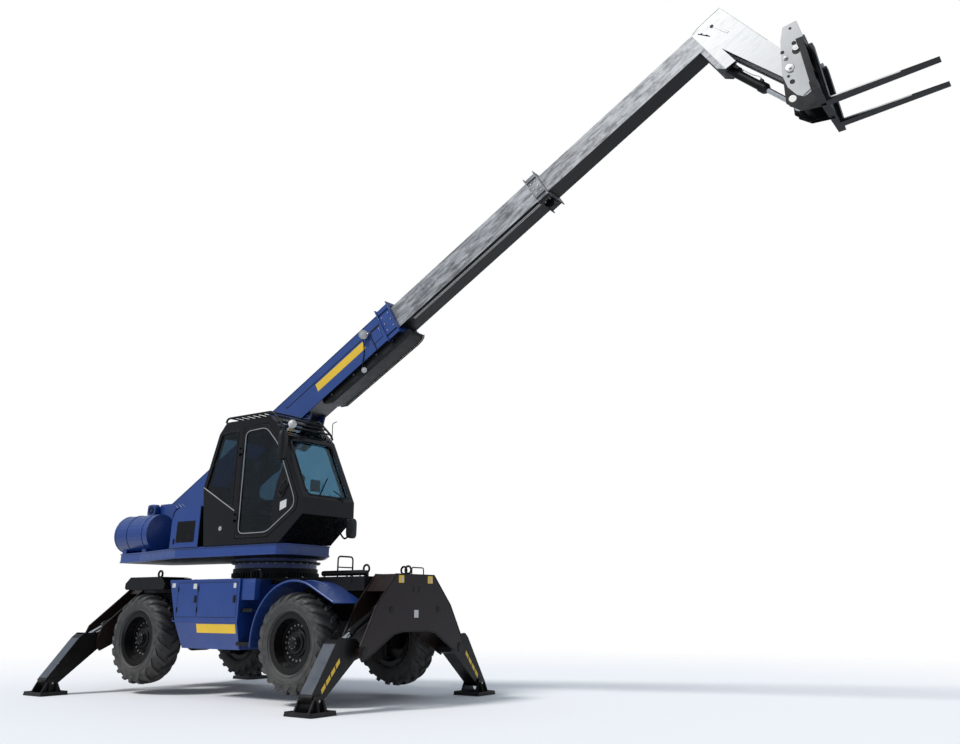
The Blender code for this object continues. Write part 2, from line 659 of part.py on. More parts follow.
def build_cab():
    shell = prism("Y", CAB, CAB_SIDE, CAB_FAR)
    room = prism("Y", inset(CAB, CAB_WALL), CAB_SIDE + CAB_WALL, CAB_FAR - CAB_WALL)
    doorway = prism("Y", inset(DOOR, -DOOR_GAP), CAB_SIDE - 0.1, CAB_SIDE + CAB_WALL + 0.01)
    quarter = [(-0.36, 2.68), (-0.12, 3.42), (0.20, 3.44), (0.20, 2.42)]
    back = prism("Y", quarter, CAB_SIDE - 0.1, CAB_SIDE + CAB_WALL + 0.01)
    left = [(-0.36, 2.68), (-0.10, 3.42), (0.80, 3.45), (1.06, 3.20), (1.46, 2.42), (0.9, 2.20), (0.2, 2.42)]
    far = prism("Y", left, CAB_FAR - CAB_WALL - 0.01, CAB_FAR + 0.1)
    span = (CAB_SIDE + 0.09, CAB_FAR - 0.09)
    screen = prism("Y", panel(CAB[5], CAB[6], 0.06, 0.95, 0.12), *span)
    brow = prism("Y", panel(CAB[4], CAB[5], 0.14, 0.86, 0.12), *span)
    roof = prism("Y", panel(CAB[3], CAB[4], 0.15, 0.85, 0.12), *span)
    rear = prism("Y", panel(CAB[1], CAB[2], 0.06, 0.94, 0.12), *span)
    lugs = []
    for z in hinge_heights():
        for up in (-1, 1):
            low, high = sorted((z + up * (0.03 + FIT), z + up * 0.055))
            across = (CAB_SIDE - 0.030, CAB_SIDE + 0.01)
            lugs.append(box((HINGE_X - 0.03, HINGE_X + 0.014), across, (low, high)))
    feet = box((-0.20, 1.10), (CAB_SIDE + 0.06, CAB_FAR - 0.06), (SKIRT_TOP + FIT, 1.91))
    pieces = [shell, feet, *lugs]
    node("cab_shell", SLEW, BLACK, pieces, [room, doorway, back, far, screen, brow, roof, rear])
    p, q = Vector(along(CAB[5], CAB[6], 0.06)), Vector(along(CAB[5], CAB[6], 0.95))
    run = (q - p).normalized()
    inward = Vector((run.y, -run.x)) * 0.02
    p, q = p + run * FIT + inward, q - run * FIT + inward
    thick = Vector((run.y, -run.x)) * GLASS_T
    sheet = [tuple(p), tuple(q), tuple(q + thick), tuple(p + thick)]
    node("windscreen", SLEW, GLASS, prism("Y", sheet, span[0] + FIT, span[1] - FIT))


def build_door():
    hinge = Matrix.Translation((HINGE_X, CAB_SIDE - 0.015, 2.70))
    swing = empty("door", SLEW, MACHINE.inverted() @ WORLD[SLEW.name] @ hinge)
    frame = prism("Y", DOOR, CAB_SIDE, CAB_SIDE + DOOR_T, (inset(DOOR, 0.055),))
    pieces = [frame]
    for z in hinge_heights():
        pieces.append(rod("Z", (HINGE_X, CAB_SIDE - 0.015, z), HINGE_R, 0.06, 14))
        pieces.append(box((HINGE_X, 0.37), (CAB_SIDE - 0.026, CAB_SIDE - 0.008), (z - 0.028, z + 0.028)))
        pieces.append(box((0.345, 0.37), (CAB_SIDE - 0.020, CAB_SIDE + 0.005), (z - 0.028, z + 0.028)))
    node("cab_door", swing, BLACK, pieces, within=SLEW)
    pane = prism("Y", inset(DOOR, 0.055 + FIT), CAB_SIDE + 0.010, CAB_SIDE + 0.010 + GLASS_T)
    node("door_glass", swing, GLASS, pane, within=SLEW)


def build_seat():
    y = (CAB_SIDE + CAB_FAR) / 2
    low = 1.90 + CAB_WALL + FIT
    pieces = [
        box((-0.05, 0.40), (y - 0.20, y + 0.20), (low, 2.22)),
        box((-0.10, 0.46), (y - 0.25, y + 0.25), (2.20, 2.36)),
        prism("Y", [(-0.12, 2.25), (0.06, 2.25), (-0.04, 3.00), (-0.18, 3.00)], y - 0.23, y + 0.23),
        prism("Y", [(-0.15, 2.98), (-0.06, 2.98), (-0.08, 3.16), (-0.17, 3.16)], y - 0.13, y + 0.13),
    ]
    node("seat", SLEW, SEAT, pieces)


# ---------------------------------------------------------------- engine and tank
def build_engine():
    lid_x = (-1.06, -0.45)
    lid_y = (CAB_SIDE, -0.16)
    low, top = SKIRT_TOP + FIT, 2.46
    wall = 0.03
    hinge = Matrix.Translation((lid_x[1] - 0.02, 0, top + 0.02))
    lid = empty("engine_cover", SLEW, MACHINE.inverted() @ WORLD[SLEW.name] @ hinge)
    outline = [(lid_x[0], low), (lid_x[0], top - 0.10), (lid_x[0] + 0.08, top), (lid_x[1], top),
               (lid_x[1], low)]
    body = prism("Y", outline, *lid_y)
    cut = [(lid_x[0] + wall, low - 0.1), (lid_x[0] + wall, top - 0.11), (lid_x[0] + 0.09, top - wall),
           (lid_x[1] + 0.1, top - wall), (lid_x[1] + 0.1, low - 0.1)]
    room = prism("Y", cut, lid_y[0] + wall, lid_y[1] - wall)
    node("engine_cover", lid, BLUE, [body], [room], within=SLEW)
    node("engine_block", SLEW, IRON, box((-0.98, -0.52), (-1.07, -0.25), (low, 2.30)))


def build_tank():
    x1 = -2.18
    y, z, r, deep = -0.46, 2.19, 0.285, 0.16
    length = x1 - TAIL_X - deep
    turns = np.radians(np.linspace(90, 0, 7))
    dome = [(r * math.sin(turn), -deep * math.cos(turn)) for turn in turns]
    body = turned([(0, length), (r, length), *dome], "X", (TAIL_X + deep, y, z), 28)
    feet = [box((x, x + 0.10), (y - 0.16, y + 0.16), (SKIRT_TOP + FIT, z - 0.2)) for x in (-2.90, -2.40)]
    node("rear_tank", SLEW, BLUE, [body, *feet])


# ---------------------------------------------------------------- boom
def boom_matrix():
    tilt = Matrix.Rotation(math.radians(-BOOM_TILT), 4, "Y")
    return Matrix.Translation((PIVOT_X, BOOM_Y, PIVOT_Z)) @ tilt


def slewed(matrix):
    return Matrix.Rotation(math.radians(TURRET_YAW), 4, "Z") @ matrix


LIFT = empty("boom_lift", SLEW, slewed(boom_matrix()))
TELE_1 = empty("boom_extend_middle", LIFT, slewed(boom_matrix()))
TELE_2 = empty("boom_extend_inner", TELE_1, slewed(boom_matrix()))


def tube(rear, end, width, height, wall):
    """The outside and the inside of a square tube along the boom."""
    outer = box((rear, end), (-width / 2, width / 2), (-height / 2, height / 2))
    w, h = width / 2 - wall, height / 2 - wall
    inner = box((rear - 0.1, end + 0.1), (-w, w), (-h, h))
    return outer, inner


def collar(start, end, width, height, pad_width, pad_height):
    outer = box((start, end), (-width / 2, width / 2), (-height / 2, height / 2))
    w, h = pad_width / 2 + FIT, pad_height / 2 + FIT
    return outer, box((start - 0.001, end + 0.1), (-w, w), (-h, h))


def build_boom():
    outer, inner = tube(S1_REAR, S1_END, S1_W, S1_H, BOOM_WALL)
    ring, _ = collar(S1_END - COLLAR_1, S1_END, S1_W + 0.05, S1_H + 0.06, S2_W, S2_H)
    pads = []
    for sign in (-1, 1):
        y = sorted((sign * (S2_W / 2 + FIT), sign * (S1_W / 2 - BOOM_WALL + 0.004)))
        pads.append(box((S1_END - 0.18, S1_END - 0.004), y, (-0.12, 0.12)))
        z = sorted((sign * (S2_H / 2 + FIT), sign * (S1_H / 2 - BOOM_WALL + 0.004)))
        pads.append(box((S1_END - 0.18, S1_END - 0.004), (-0.12, 0.12), z))
    bracket_y = S1_W / 2 - 0.07
    root = -S1_H / 2 + 0.01
    low = LIFT_N - 0.08
    eye = [(LIFT_S - 0.45, root), (LIFT_S + 0.45, root), (LIFT_S + 0.18, low), (LIFT_S - 0.18, low)]
    ears = [prism("Y", eye, *sorted((s * bracket_y, s * (bracket_y + 0.03)))) for s in (-1, 1)]
    hole = bore("Y", (0, 0, 0), PIVOT_R, S1_W + 0.3, 24)
    boss = rod("Y", (0, 0, 0), 0.13, S1_W + 0.03, 24)
    body = combine([outer, ring, boss], [inner, hole])
    node("boom_outer", LIFT, BLUE, [body, *pads, *ears], within=LIFT)


def build_middle():
    outer, inner = tube(S2_REAR, S2_END, S2_W, S2_H, BOOM_WALL)
    ring, hole = collar(S2_END - COLLAR_2, S2_END, S2_W + 0.05, S2_H + 0.05, S3_W, S3_H)
    node("boom_middle", TELE_1, SILVER, [combine([outer], [inner]), combine([ring], [hole])], within=LIFT)


HEAD = [(11.34, 0.16), (11.45, 0.19), (11.847, 0.19), (11.99, -1.15), (11.97, -1.36), (11.80, -1.40),
        (11.74, -1.30), (11.44, -0.16), (11.34, -0.16)]


def build_inner():
    outer, inner = tube(S3_REAR, S3_END, S3_W, S3_H, BOOM_WALL)
    head = prism("Y", HEAD, -S3_W / 2, S3_W / 2)
    hole = bore("Y", (FORK_S, 0, FORK_N), FORK_PIN_R, S3_W + 0.2, 20)
    hollow = [(11.10, -0.20), (11.50, -0.20), (11.81, -1.20), (11.88, -1.60), (11.10, -1.60)]
    slot = prism("Y", hollow, -0.09, 0.09)
    knee = [(TILT_S - 0.10, -S3_H / 2 + 0.01), (TILT_S + 0.12, -0.14), (TILT_S + 0.13, TILT_N - 0.10),
            (TILT_S - 0.03, TILT_N - 0.09), (TILT_S - 0.10, TILT_N)]
    lug = prism("Y", knee, -S3_W / 2, S3_W / 2)
    pin = rod("Y", (TILT_S, 0, TILT_N), 0.03, S3_W - 0.02, 16)
    body = combine([outer], [inner])
    node("boom_inner", TELE_2, SILVER, [body, combine([head, lug], [hole, slot]), pin], within=LIFT)


# ---------------------------------------------------------------- fork carriage
def carriage_matrix():
    tilt = Matrix.Rotation(math.radians(-FORK_TILT), 4, "Y")
    place = boom_matrix() @ Vector((FORK_S, 0, FORK_N))
    return Matrix.Translation(place) @ tilt


FORKS = empty("carriage_tilt", TELE_2, slewed(carriage_matrix()))


def build_carriage():
    side = S3_W / 2 + RUN
    cheek = [(-0.11, -0.05), (-0.02, 0.42), (0.05, 0.60), (0.22, 0.62), (0.27, 0.10), (0.27, -0.62),
             (-0.02, -0.60), (-0.16, -0.44)]
    pieces = []
    for sign in (-1, 1):
        y = sorted((sign * side, sign * (side + 0.025)))
        pieces.append(prism("Y", cheek, *y))
    back = FORK_FACE - 0.05
    half = CARRIAGE_W / 2
    pieces.append(rod("Y", (0, 0, 0), FORK_PIN_R, 2 * side + 0.03, 20))
    pieces.append(box((back - 0.04, FORK_FACE - FIT), (-half, half), (FORK_TOP - 0.10, FORK_TOP)))
    pieces.append(box((back - 0.04, FORK_FACE - FIT), (-half, half), (-FORK_DROP + 0.02, -FORK_DROP + 0.14)))
    for y in (-half + 0.03, -0.22, 0.22, half - 0.03):
        upright = (-FORK_DROP + 0.03, FORK_TOP - 0.01)
        pieces.append(box((back - 0.03, FORK_FACE - 0.01), (y - 0.03, y + 0.03), upright))
    node("fork_carriage", FORKS, BLACK, pieces, within=FORKS)


def build_forks():
    face = FORK_FACE
    top = FORK_TOP + 0.02
    for side, sign in SIDES:
        y = sign * FORK_SPREAD / 2
        tip = face + FORK_T + FORK_L
        hook = top - 0.02 + FIT
        line = [(face, -FORK_DROP - FORK_T), (tip, -FORK_DROP - 0.012), (tip, -FORK_DROP),
                (face + FORK_T, -FORK_DROP), (face + FORK_T, top), (face - 0.11, top),
                (face - 0.11, top - 0.05), (face - 0.095, top - 0.05), (face - 0.095, hook), (face, hook)]
        node("fork_" + side, FORKS, BLACK, prism("Y", line, y - FORK_W / 2, y + FORK_W / 2), within=FORKS)


# ---------------------------------------------------------------- boom cylinders
def in_plane(name, parent, start, end):
    """The frames of a cylinder in the boom's plane: Z runs from the barrel's pin to the rod's."""
    a = Vector((start[0], BOOM_Y, start[1]))
    b = Vector((end[0], BOOM_Y, end[1]))
    way = (b - a).normalized()
    across = Vector((0, 1, 0))
    turn = Matrix((across.cross(way), across, way)).transposed().to_4x4()
    place = slewed(Matrix.Translation(a) @ turn)
    swing = empty(name + "_swing", parent, place)
    slide = empty(name + "_slide", swing, place)
    return swing, slide, (b - a).length


def ram(name, parent, start, end, barrel_r, rod_r, barrel_l, eye_r, pin_r, width, rod_pin, rod_in):
    swing, slide, reach = in_plane(name, parent, start, end)
    ring = rod("Y", (0, 0, 0), eye_r, width, 24)
    hole = bore("Y", (0, 0, 0), pin_r, width + 0.1, 16)
    barrel = rod("Z", (0, 0, 0.04 + barrel_l / 2), barrel_r, barrel_l, 24)
    inside = bore("Z", (0, 0, eye_r + 0.03 + barrel_l / 2), rod_r, barrel_l, 20)
    node(name + "_barrel", swing, IRON, [ring, barrel], [hole, inside], within=swing)
    shaft = rod("Z", (0, 0, (rod_in + reach) / 2), rod_r, reach - rod_in, 20)
    eye = rod("Y", (0, 0, reach), eye_r * 0.8, width * 0.8, 24)
    pin = rod("Y", (0, 0, reach), pin_r * 0.8, rod_pin, 16)
    node(name + "_rod", slide, CHROME, [shaft, eye, pin], within=slide)


def build_rams():
    place = boom_matrix() @ Vector((LIFT_S, 0, LIFT_N))
    gap = 2 * (S1_W / 2 - 0.07) - 2 * RUN
    ram("lift", SLEW, (LIFT_LOW_X, LIFT_LOW_Z), (place.x, place.z), LIFT_BARREL_R, LIFT_ROD_R, LIFT_BARREL_L,
        LIFT_EYE_R, LIFT_PIN_R, 0.16, gap, LIFT_ROD_IN)
    start = boom_matrix() @ Vector((TILT_S, 0, TILT_N))
    end = carriage_matrix() @ Vector((TILT_X, 0, TILT_Z))
    gap = S3_W
    ram("tilt", TELE_2, (start.x, start.z), (end.x, end.z), TILT_BARREL_R, TILT_ROD_R, TILT_BARREL_L,
        0.065, 0.03, 0.12, gap, TILT_ROD_IN)


# ---------------------------------------------------------------- build
build_chassis()
for side_name, side_sign in SIDES:
    build_side_box(side_name, side_sign)
    build_front_fender(side_name, side_sign)
    build_rear_fender(side_name, side_sign)
build_running_gear()
build_turret()
build_cab()
build_door()
build_seat()
build_engine()
build_tank()
build_boom()
build_middle()
build_inner()
build_carriage()
build_forks()
build_rams()
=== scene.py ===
# %% [markdown]
# # A rotating telehandler standing on its stabilisers
# The machine's steelwork comes in ready made: a chassis on two axles, a turning upper frame with
# a cab, a boom of three sections and a pair of forks. This lesson gives every part its finish and
# adds what the steelwork leaves out: tyre lugs, window glass, seals, bolts, hoses, rails and lamps.
# The frame is loaded first.

# %% Load the machine's frame
import json
import math

import bmesh
import bpy
import numpy as np
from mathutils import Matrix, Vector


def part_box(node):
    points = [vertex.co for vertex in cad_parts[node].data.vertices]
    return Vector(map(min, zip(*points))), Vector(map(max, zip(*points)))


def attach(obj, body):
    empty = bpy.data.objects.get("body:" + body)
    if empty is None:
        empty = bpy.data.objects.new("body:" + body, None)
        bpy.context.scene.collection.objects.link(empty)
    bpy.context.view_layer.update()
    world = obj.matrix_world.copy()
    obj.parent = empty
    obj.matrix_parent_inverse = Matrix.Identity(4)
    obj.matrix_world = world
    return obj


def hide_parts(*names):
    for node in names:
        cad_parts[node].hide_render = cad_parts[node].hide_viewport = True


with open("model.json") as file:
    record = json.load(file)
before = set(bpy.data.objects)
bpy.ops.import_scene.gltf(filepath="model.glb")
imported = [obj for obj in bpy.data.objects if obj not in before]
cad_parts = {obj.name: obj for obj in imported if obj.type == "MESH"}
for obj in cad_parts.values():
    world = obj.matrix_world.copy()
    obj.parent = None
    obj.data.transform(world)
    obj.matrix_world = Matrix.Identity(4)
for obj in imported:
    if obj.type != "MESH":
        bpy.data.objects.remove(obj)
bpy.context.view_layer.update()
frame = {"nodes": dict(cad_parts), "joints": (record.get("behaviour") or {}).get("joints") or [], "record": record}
joints = {joint["name"]: joint for joint in frame["joints"]}

# %% [markdown]
# Three frames of reference are handy. The machine's own frame has its origin on the ground under
# the slewing axis. The boom's frame starts at the boom's pivot and runs along the boom. The fork
# carriage's frame starts at its pivot pin and leans back with the forks. Each is worked out from
# the joints, so a piece goes where the steel is.

# %% The machine's, the boom's and the carriage's frames
SLEW_X = joints["slew"]["pos_m"][0]
PIVOT = np.array(joints["boom_lift"]["pos_m"])
ALONG = np.array(joints["boom_extend_middle"]["axis"])
ACROSS = np.array([0.0, 1.0, 0.0])
ABOVE = np.cross(ALONG, ACROSS)
HEEL = np.array(joints["carriage_tilt"]["pos_m"])
FORK_UP = np.array(frame["record"]["mounts"][0]["axis"])
FORK_OUT = np.cross(ACROSS, FORK_UP)


def placed(origin, x, y, z):
    """A 4 by 4 place whose columns are the three directions and the origin."""
    place = np.eye(4)
    place[:3, 0], place[:3, 1], place[:3, 2], place[:3, 3] = x, y, z, origin
    return place


MACHINE = placed((SLEW_X, 0, 0), (1, 0, 0), (0, 1, 0), (0, 0, 1))
BOOM = placed(PIVOT, ALONG, ACROSS, ABOVE)
CARRIAGE = placed(HEEL, FORK_OUT, ACROSS, FORK_UP)
print("boom leans", round(math.degrees(math.asin(ALONG[2])), 2), "degrees")

# %% [markdown]
# Most new pieces are one of four surfaces: a sheet over a grid of points, a profile turned about
# an axis, a section carried along a path, and a flat outline given thickness. Each is worked out
# as a whole array of points. A patch is its points and its faces, so patches can be merged or
# copied to many places before they become one mesh.

# %% Surfaces as arrays
def grid(points, wrap_u=False, wrap_v=False):
    """Four-sided faces over a (u, v) array of points; a wrapped direction closes on its start."""
    index = np.arange(points.shape[0] * points.shape[1]).reshape(points.shape[:2])
    index = np.vstack([index, index[:1]]) if wrap_u else index
    index = np.hstack([index, index[:, :1]]) if wrap_v else index
    quads = np.stack([index[:-1, :-1], index[1:, :-1], index[1:, 1:], index[:-1, 1:]], -1)
    return points.reshape(-1, 3), [quads.reshape(-1, 4)]


def turned(profile, place=np.eye(4), steps=32, closed=False):
    """A profile of (height, radius) points turned about Z: (r cos t, r sin t, h) for every t."""
    height, radius = np.array(profile, float).T
    t = np.linspace(0, 2 * np.pi, steps, endpoint=False)[:, None]
    points = np.stack([radius * np.cos(t), radius * np.sin(t), height + 0 * t], -1)
    return moved(grid(points, True, closed), place)


def swept(path, section, lift=(0, 0, 1), place=np.eye(4)):
    """A closed section carried along a path: path + a * side + b * top for section points (a, b)."""
    path = np.array(path, float)
    section = np.array(section, float)
    way = np.gradient(path, axis=0)
    way /= np.linalg.norm(way, axis=1, keepdims=True)
    side = np.cross(way, np.array(lift, float))
    side /= np.linalg.norm(side, axis=1, keepdims=True)
    top = np.cross(side, way)
    points = path[:, None] + section[:, 0, None] * side[:, None] + section[:, 1, None] * top[:, None]
    verts, faces = grid(points, False, True)
    ring = np.arange(len(section))
    return moved((verts, [*faces, ring[None], ring[None] + len(verts) - len(section)]), place)


def slab(outline, low, high, place=np.eye(4)):
    """A flat (x, z) outline given thickness along Y, from low to high."""
    flat = np.array(outline, float)
    count = len(flat)
    rows = [np.stack([flat[:, 0], np.full(count, y), flat[:, 1]], -1) for y in (low, high)]
    verts, faces = grid(np.array(rows), False, True)
    ring = np.arange(count)
    return moved((verts, [*faces, ring[None], ring[None] + count]), place)


def moved(patch, place):
    """Every point of a patch times a 4 by 4 place."""
    verts, faces = patch
    return verts @ place[:3, :3].T + place[:3, 3], faces


def copies(patch, places):
    """One patch set down at many places, as a single product of points and places."""
    verts, faces = patch
    places = np.array(places)
    out = np.einsum("nij,vj->nvi", places[:, :3, :3], verts) + places[:, None, :3, 3]
    steps = np.arange(len(places)) * len(verts)
    return out.reshape(-1, 3), [(f[None] + steps[:, None, None]).reshape(-1, f.shape[1]) for f in faces]


def merged(*patches):
    """Several patches as one: the faces of each count on from the points before it."""
    starts = np.cumsum([0] + [len(verts) for verts, _ in patches])
    faces = [f + start for (_, group), start in zip(patches, starts) for f in group]
    return np.concatenate([verts for verts, _ in patches]), faces


def block(x, y, z, place=np.eye(4)):
    """A box between two values on each axis, as an outline given thickness."""
    return slab([(x[0], z[0]), (x[1], z[0]), (x[1], z[1]), (x[0], z[1])], y[0], y[1], place)


def circle(radius, sides=12):
    """A circle as a section."""
    t = np.linspace(0, 2 * np.pi, sides, endpoint=False)
    return np.stack([radius * np.cos(t), radius * np.sin(t)], -1)


def rounded(corners, radius, steps=6):
    """A path whose corners become curves: each is (1-t)^2 a + 2t(1-t) corner + t^2 b."""
    corners = np.array(corners, float)
    t = np.linspace(0, 1, steps)[:, None]
    parts = [corners[:1]]
    for before, corner, after in zip(corners, corners[1:], corners[2:]):
        a = corner + (before - corner) * min(0.49, radius / np.linalg.norm(before - corner))
        b = corner + (after - corner) * min(0.49, radius / np.linalg.norm(after - corner))
        parts.append((1 - t) ** 2 * a + 2 * t * (1 - t) * corner + t ** 2 * b)
    return np.concatenate([*parts, corners[-1:]])


def spline(points, count=40):
    """A smooth path through points, by the Catmull-Rom formula between each pair."""
    p = np.array(points, float)
    p = np.concatenate([2 * p[:1] - p[1:2], p, 2 * p[-1:] - p[-2:-1]])
    u = np.linspace(0, len(p) - 3 - 1e-9, count)
    i = u.astype(int)
    t = (u - i)[:, None]
    a, b, c, d = p[i], p[i + 1], p[i + 2], p[i + 3]
    return 0.5 * (2 * b + (c - a) * t + (2 * a - 5 * b + 4 * c - d) * t ** 2
                  + (3 * b - a - 3 * c + d) * t ** 3)


def hose(points, radius, place=np.eye(4), count=40, lift=(0, 0, 1)):
    """A round hose through points."""
    return swept(spline(points, count), circle(radius, 10), lift, place)


def bar(corners, radius, bend=0.04, place=np.eye(4), lift=(0, 1, 0)):
    """A bent round bar through corners."""
    return swept(rounded(corners, bend), circle(radius, 10), lift, place)


BOLT = turned([(-0.2, 0), (-0.2, 1), (0.55, 1), (0.7, 0.86), (0.7, 0)], steps=6)


def bolts(centres, facing, radius):
    """Six-sided bolt heads at points, standing out along one direction."""
    out = np.array(facing, float) / np.linalg.norm(facing)
    side = np.cross(out, (0.3, 0.5, 0.8))
    side /= np.linalg.norm(side)
    places = [placed(c, side * radius, np.cross(out, side) * radius, out * radius) for c in centres]
    return copies(BOLT, places)


def ring_points(centre, facing, radius, count, start=0.0):
    """Points round a circle, for bolts on a hub."""
    out = np.array(facing, float) / np.linalg.norm(facing)
    side = np.cross(out, (0, 0, 1)) if abs(out[2]) < 0.9 else np.array([1.0, 0, 0])
    t = (start + np.linspace(0, 2 * np.pi, count, endpoint=False))[:, None]
    return np.array(centre) + radius * (np.cos(t) * side + np.sin(t) * np.cross(out, side))


print("a bolt head has", len(BOLT[0]), "points")

# %% [markdown]
# A patch becomes a piece in one step: the mesh is filled from the arrays, doubled points are
# merged, faces are turned outwards, and edges sharper than a set angle stay crisp. A small bevel
# catches the light as a real folded or cast edge does.

# %% From a patch to a piece that rides on a body
def piece(name, patch, finish, body, bevel=0.0, sharp=35, soft=0):
    verts, faces = patch
    mesh = bpy.data.meshes.new(name)
    mesh.from_pydata(verts.tolist(), [], [row for group in faces for row in group.tolist()])
    work = bmesh.new()
    work.from_mesh(mesh)
    bmesh.ops.remove_doubles(work, verts=work.verts, dist=1e-5)
    bmesh.ops.dissolve_degenerate(work, edges=work.edges, dist=1e-6)
    bmesh.ops.recalc_face_normals(work, faces=work.faces)
    work.to_mesh(mesh)
    work.free()
    mesh.shade_smooth()
    mesh.set_sharp_from_angle(angle=math.radians(sharp))
    item = bpy.data.objects.new(name, mesh)
    bpy.context.scene.collection.objects.link(item)
    mesh.materials.append(finish)
    if bevel:
        edge = item.modifiers.new("edge", "BEVEL")
        edge.width, edge.segments, edge.limit_method = bevel, 2, "ANGLE"
        edge.harden_normals = False
    if soft:
        round_off = item.modifiers.new("round", "SUBSURF")
        round_off.levels = round_off.render_levels = soft
    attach(item, body)
    return item


# %% [markdown]
# The effects that several finishes share are node groups: paint worn off along edges, dust that
# gathers low down and on top faces, and the fine grain of sprayed paint. Each gives out a mask or
# a height. The shader itself stays in the material, where its own plain values are set.

# %% Node helpers and the shared groups
def add(tree, kind, values=None, **settings):
    made = tree.nodes.new("ShaderNode" + kind)
    for key, value in settings.items():
        setattr(made, key, value)
    for key, value in (values or {}).items():
        if isinstance(value, bpy.types.NodeSocket):
            tree.links.new(value, made.inputs[key])
        else:
            made.inputs[key].default_value = value
    return made


def math_node(tree, operation, a, b=0.5, clamp=False):
    return add(tree, "Math", {0: a, 1: b}, operation=operation, use_clamp=clamp).outputs[0]


def mix_colour(tree, factor, a, b, blend="MIX"):
    values = {0: factor, 6: a, 7: b}
    return add(tree, "Mix", values, data_type="RGBA", blend_type=blend).outputs[2]


def noise(tree, scale, detail=4.0, where=None, roughness=0.55):
    where = where or add(tree, "TexCoord").outputs["Object"]
    values = {"Vector": where, "Scale": scale, "Detail": detail, "Roughness": roughness}
    return add(tree, "TexNoise", values).outputs["Fac"]


def ramp(tree, value, low, high, start=0.0, end=1.0):
    values = {"Value": value, "From Min": low, "From Max": high, "To Min": start, "To Max": end}
    return add(tree, "MapRange", values, clamp=True).outputs[0]


def group(name, inputs, output):
    tree = bpy.data.node_groups.new(name, "ShaderNodeTree")
    for label, value in inputs:
        socket = tree.interface.new_socket(label, in_out="INPUT", socket_type="NodeSocketFloat")
        socket.default_value = value
    tree.interface.new_socket(output, in_out="OUTPUT", socket_type="NodeSocketFloat")
    return tree, tree.nodes.new("NodeGroupInput").outputs, tree.nodes.new("NodeGroupOutput").inputs


def use(tree, name, **values):
    made = add(tree, "Group")
    made.node_tree = bpy.data.node_groups[name]
    for key, value in values.items():
        socket = made.inputs[key.replace("_", " ")]
        if isinstance(value, bpy.types.NodeSocket):
            tree.links.new(value, socket)
        else:
            socket.default_value = value
    return made.outputs[0]


tree, given, out = group("Worn edges", [("Radius", 0.008), ("Amount", 1.0), ("Scale", 30.0)], "Mask")
rounded_normal = add(tree, "Bevel", {"Radius": given["Radius"]}, samples=4).outputs[0]
true_normal = add(tree, "NewGeometry").outputs["Normal"]
straight = add(tree, "VectorMath", {0: rounded_normal, 1: true_normal}, operation="DOT_PRODUCT")
edge = ramp(tree, math_node(tree, "SUBTRACT", 1.0, straight.outputs["Value"]), 0.03, 0.30)
patchy = ramp(tree, noise(tree, given["Scale"], 6.0), 0.52, 0.66)
worn = math_node(tree, "MULTIPLY", edge, patchy)
tree.links.new(math_node(tree, "MULTIPLY", worn, given["Amount"], True), out["Mask"])

tree, given, out = group("Site dust", [("Low", 0.0), ("High", 1.2), ("Amount", 0.5)], "Mask")
spot = add(tree, "TexCoord")
height = add(tree, "SeparateXYZ", {0: spot.outputs["Object"]}).outputs["Z"]
upward = add(tree, "SeparateXYZ", {0: spot.outputs["Normal"]}).outputs["Z"]
low_down = add(tree, "MapRange", {"Value": height, "From Min": given["High"],
                                  "From Max": given["Low"]}).outputs[0]
on_top = ramp(tree, upward, 0.6, 1.0, 0.0, 0.5)
lying = math_node(tree, "ADD", low_down, on_top)
clouds = ramp(tree, noise(tree, 3.5, 8.0, roughness=0.7), 0.35, 0.75)
dusty = math_node(tree, "MULTIPLY", lying, clouds)
tree.links.new(math_node(tree, "MULTIPLY", dusty, given["Amount"], True), out["Mask"])

tree, given, out = group("Sprayed grain", [("Scale", 260.0), ("Depth", 0.2)], "Height")
peel = noise(tree, given["Scale"], 3.0)
tree.links.new(math_node(tree, "MULTIPLY", peel, given["Depth"]), out["Height"])
print("groups", [made.name for made in bpy.data.node_groups])

# %% [markdown]
# Painted steel is one recipe with different numbers: a colour that drifts slightly over large
# areas, bare or primed metal along worn edges, dust, and fine orange peel in the clear coat.
# A finish may also be given a second colour on faces that point one way or lie beyond a line, as
# on the boom, whose downward faces are darkened to near black as painted shade.

# %% The paint recipe
DUST = (0.32, 0.27, 0.21, 1)


def shader_of(name):
    made = bpy.data.materials.new(name)
    made.use_nodes = True
    return made, made.node_tree, made.node_tree.nodes["Principled BSDF"]


def set_bump(tree, shader, height, strength, distance=0.002):
    values = {"Height": height, "Strength": strength, "Distance": distance}
    tree.links.new(add(tree, "Bump", values).outputs[0], shader.inputs["Normal"])


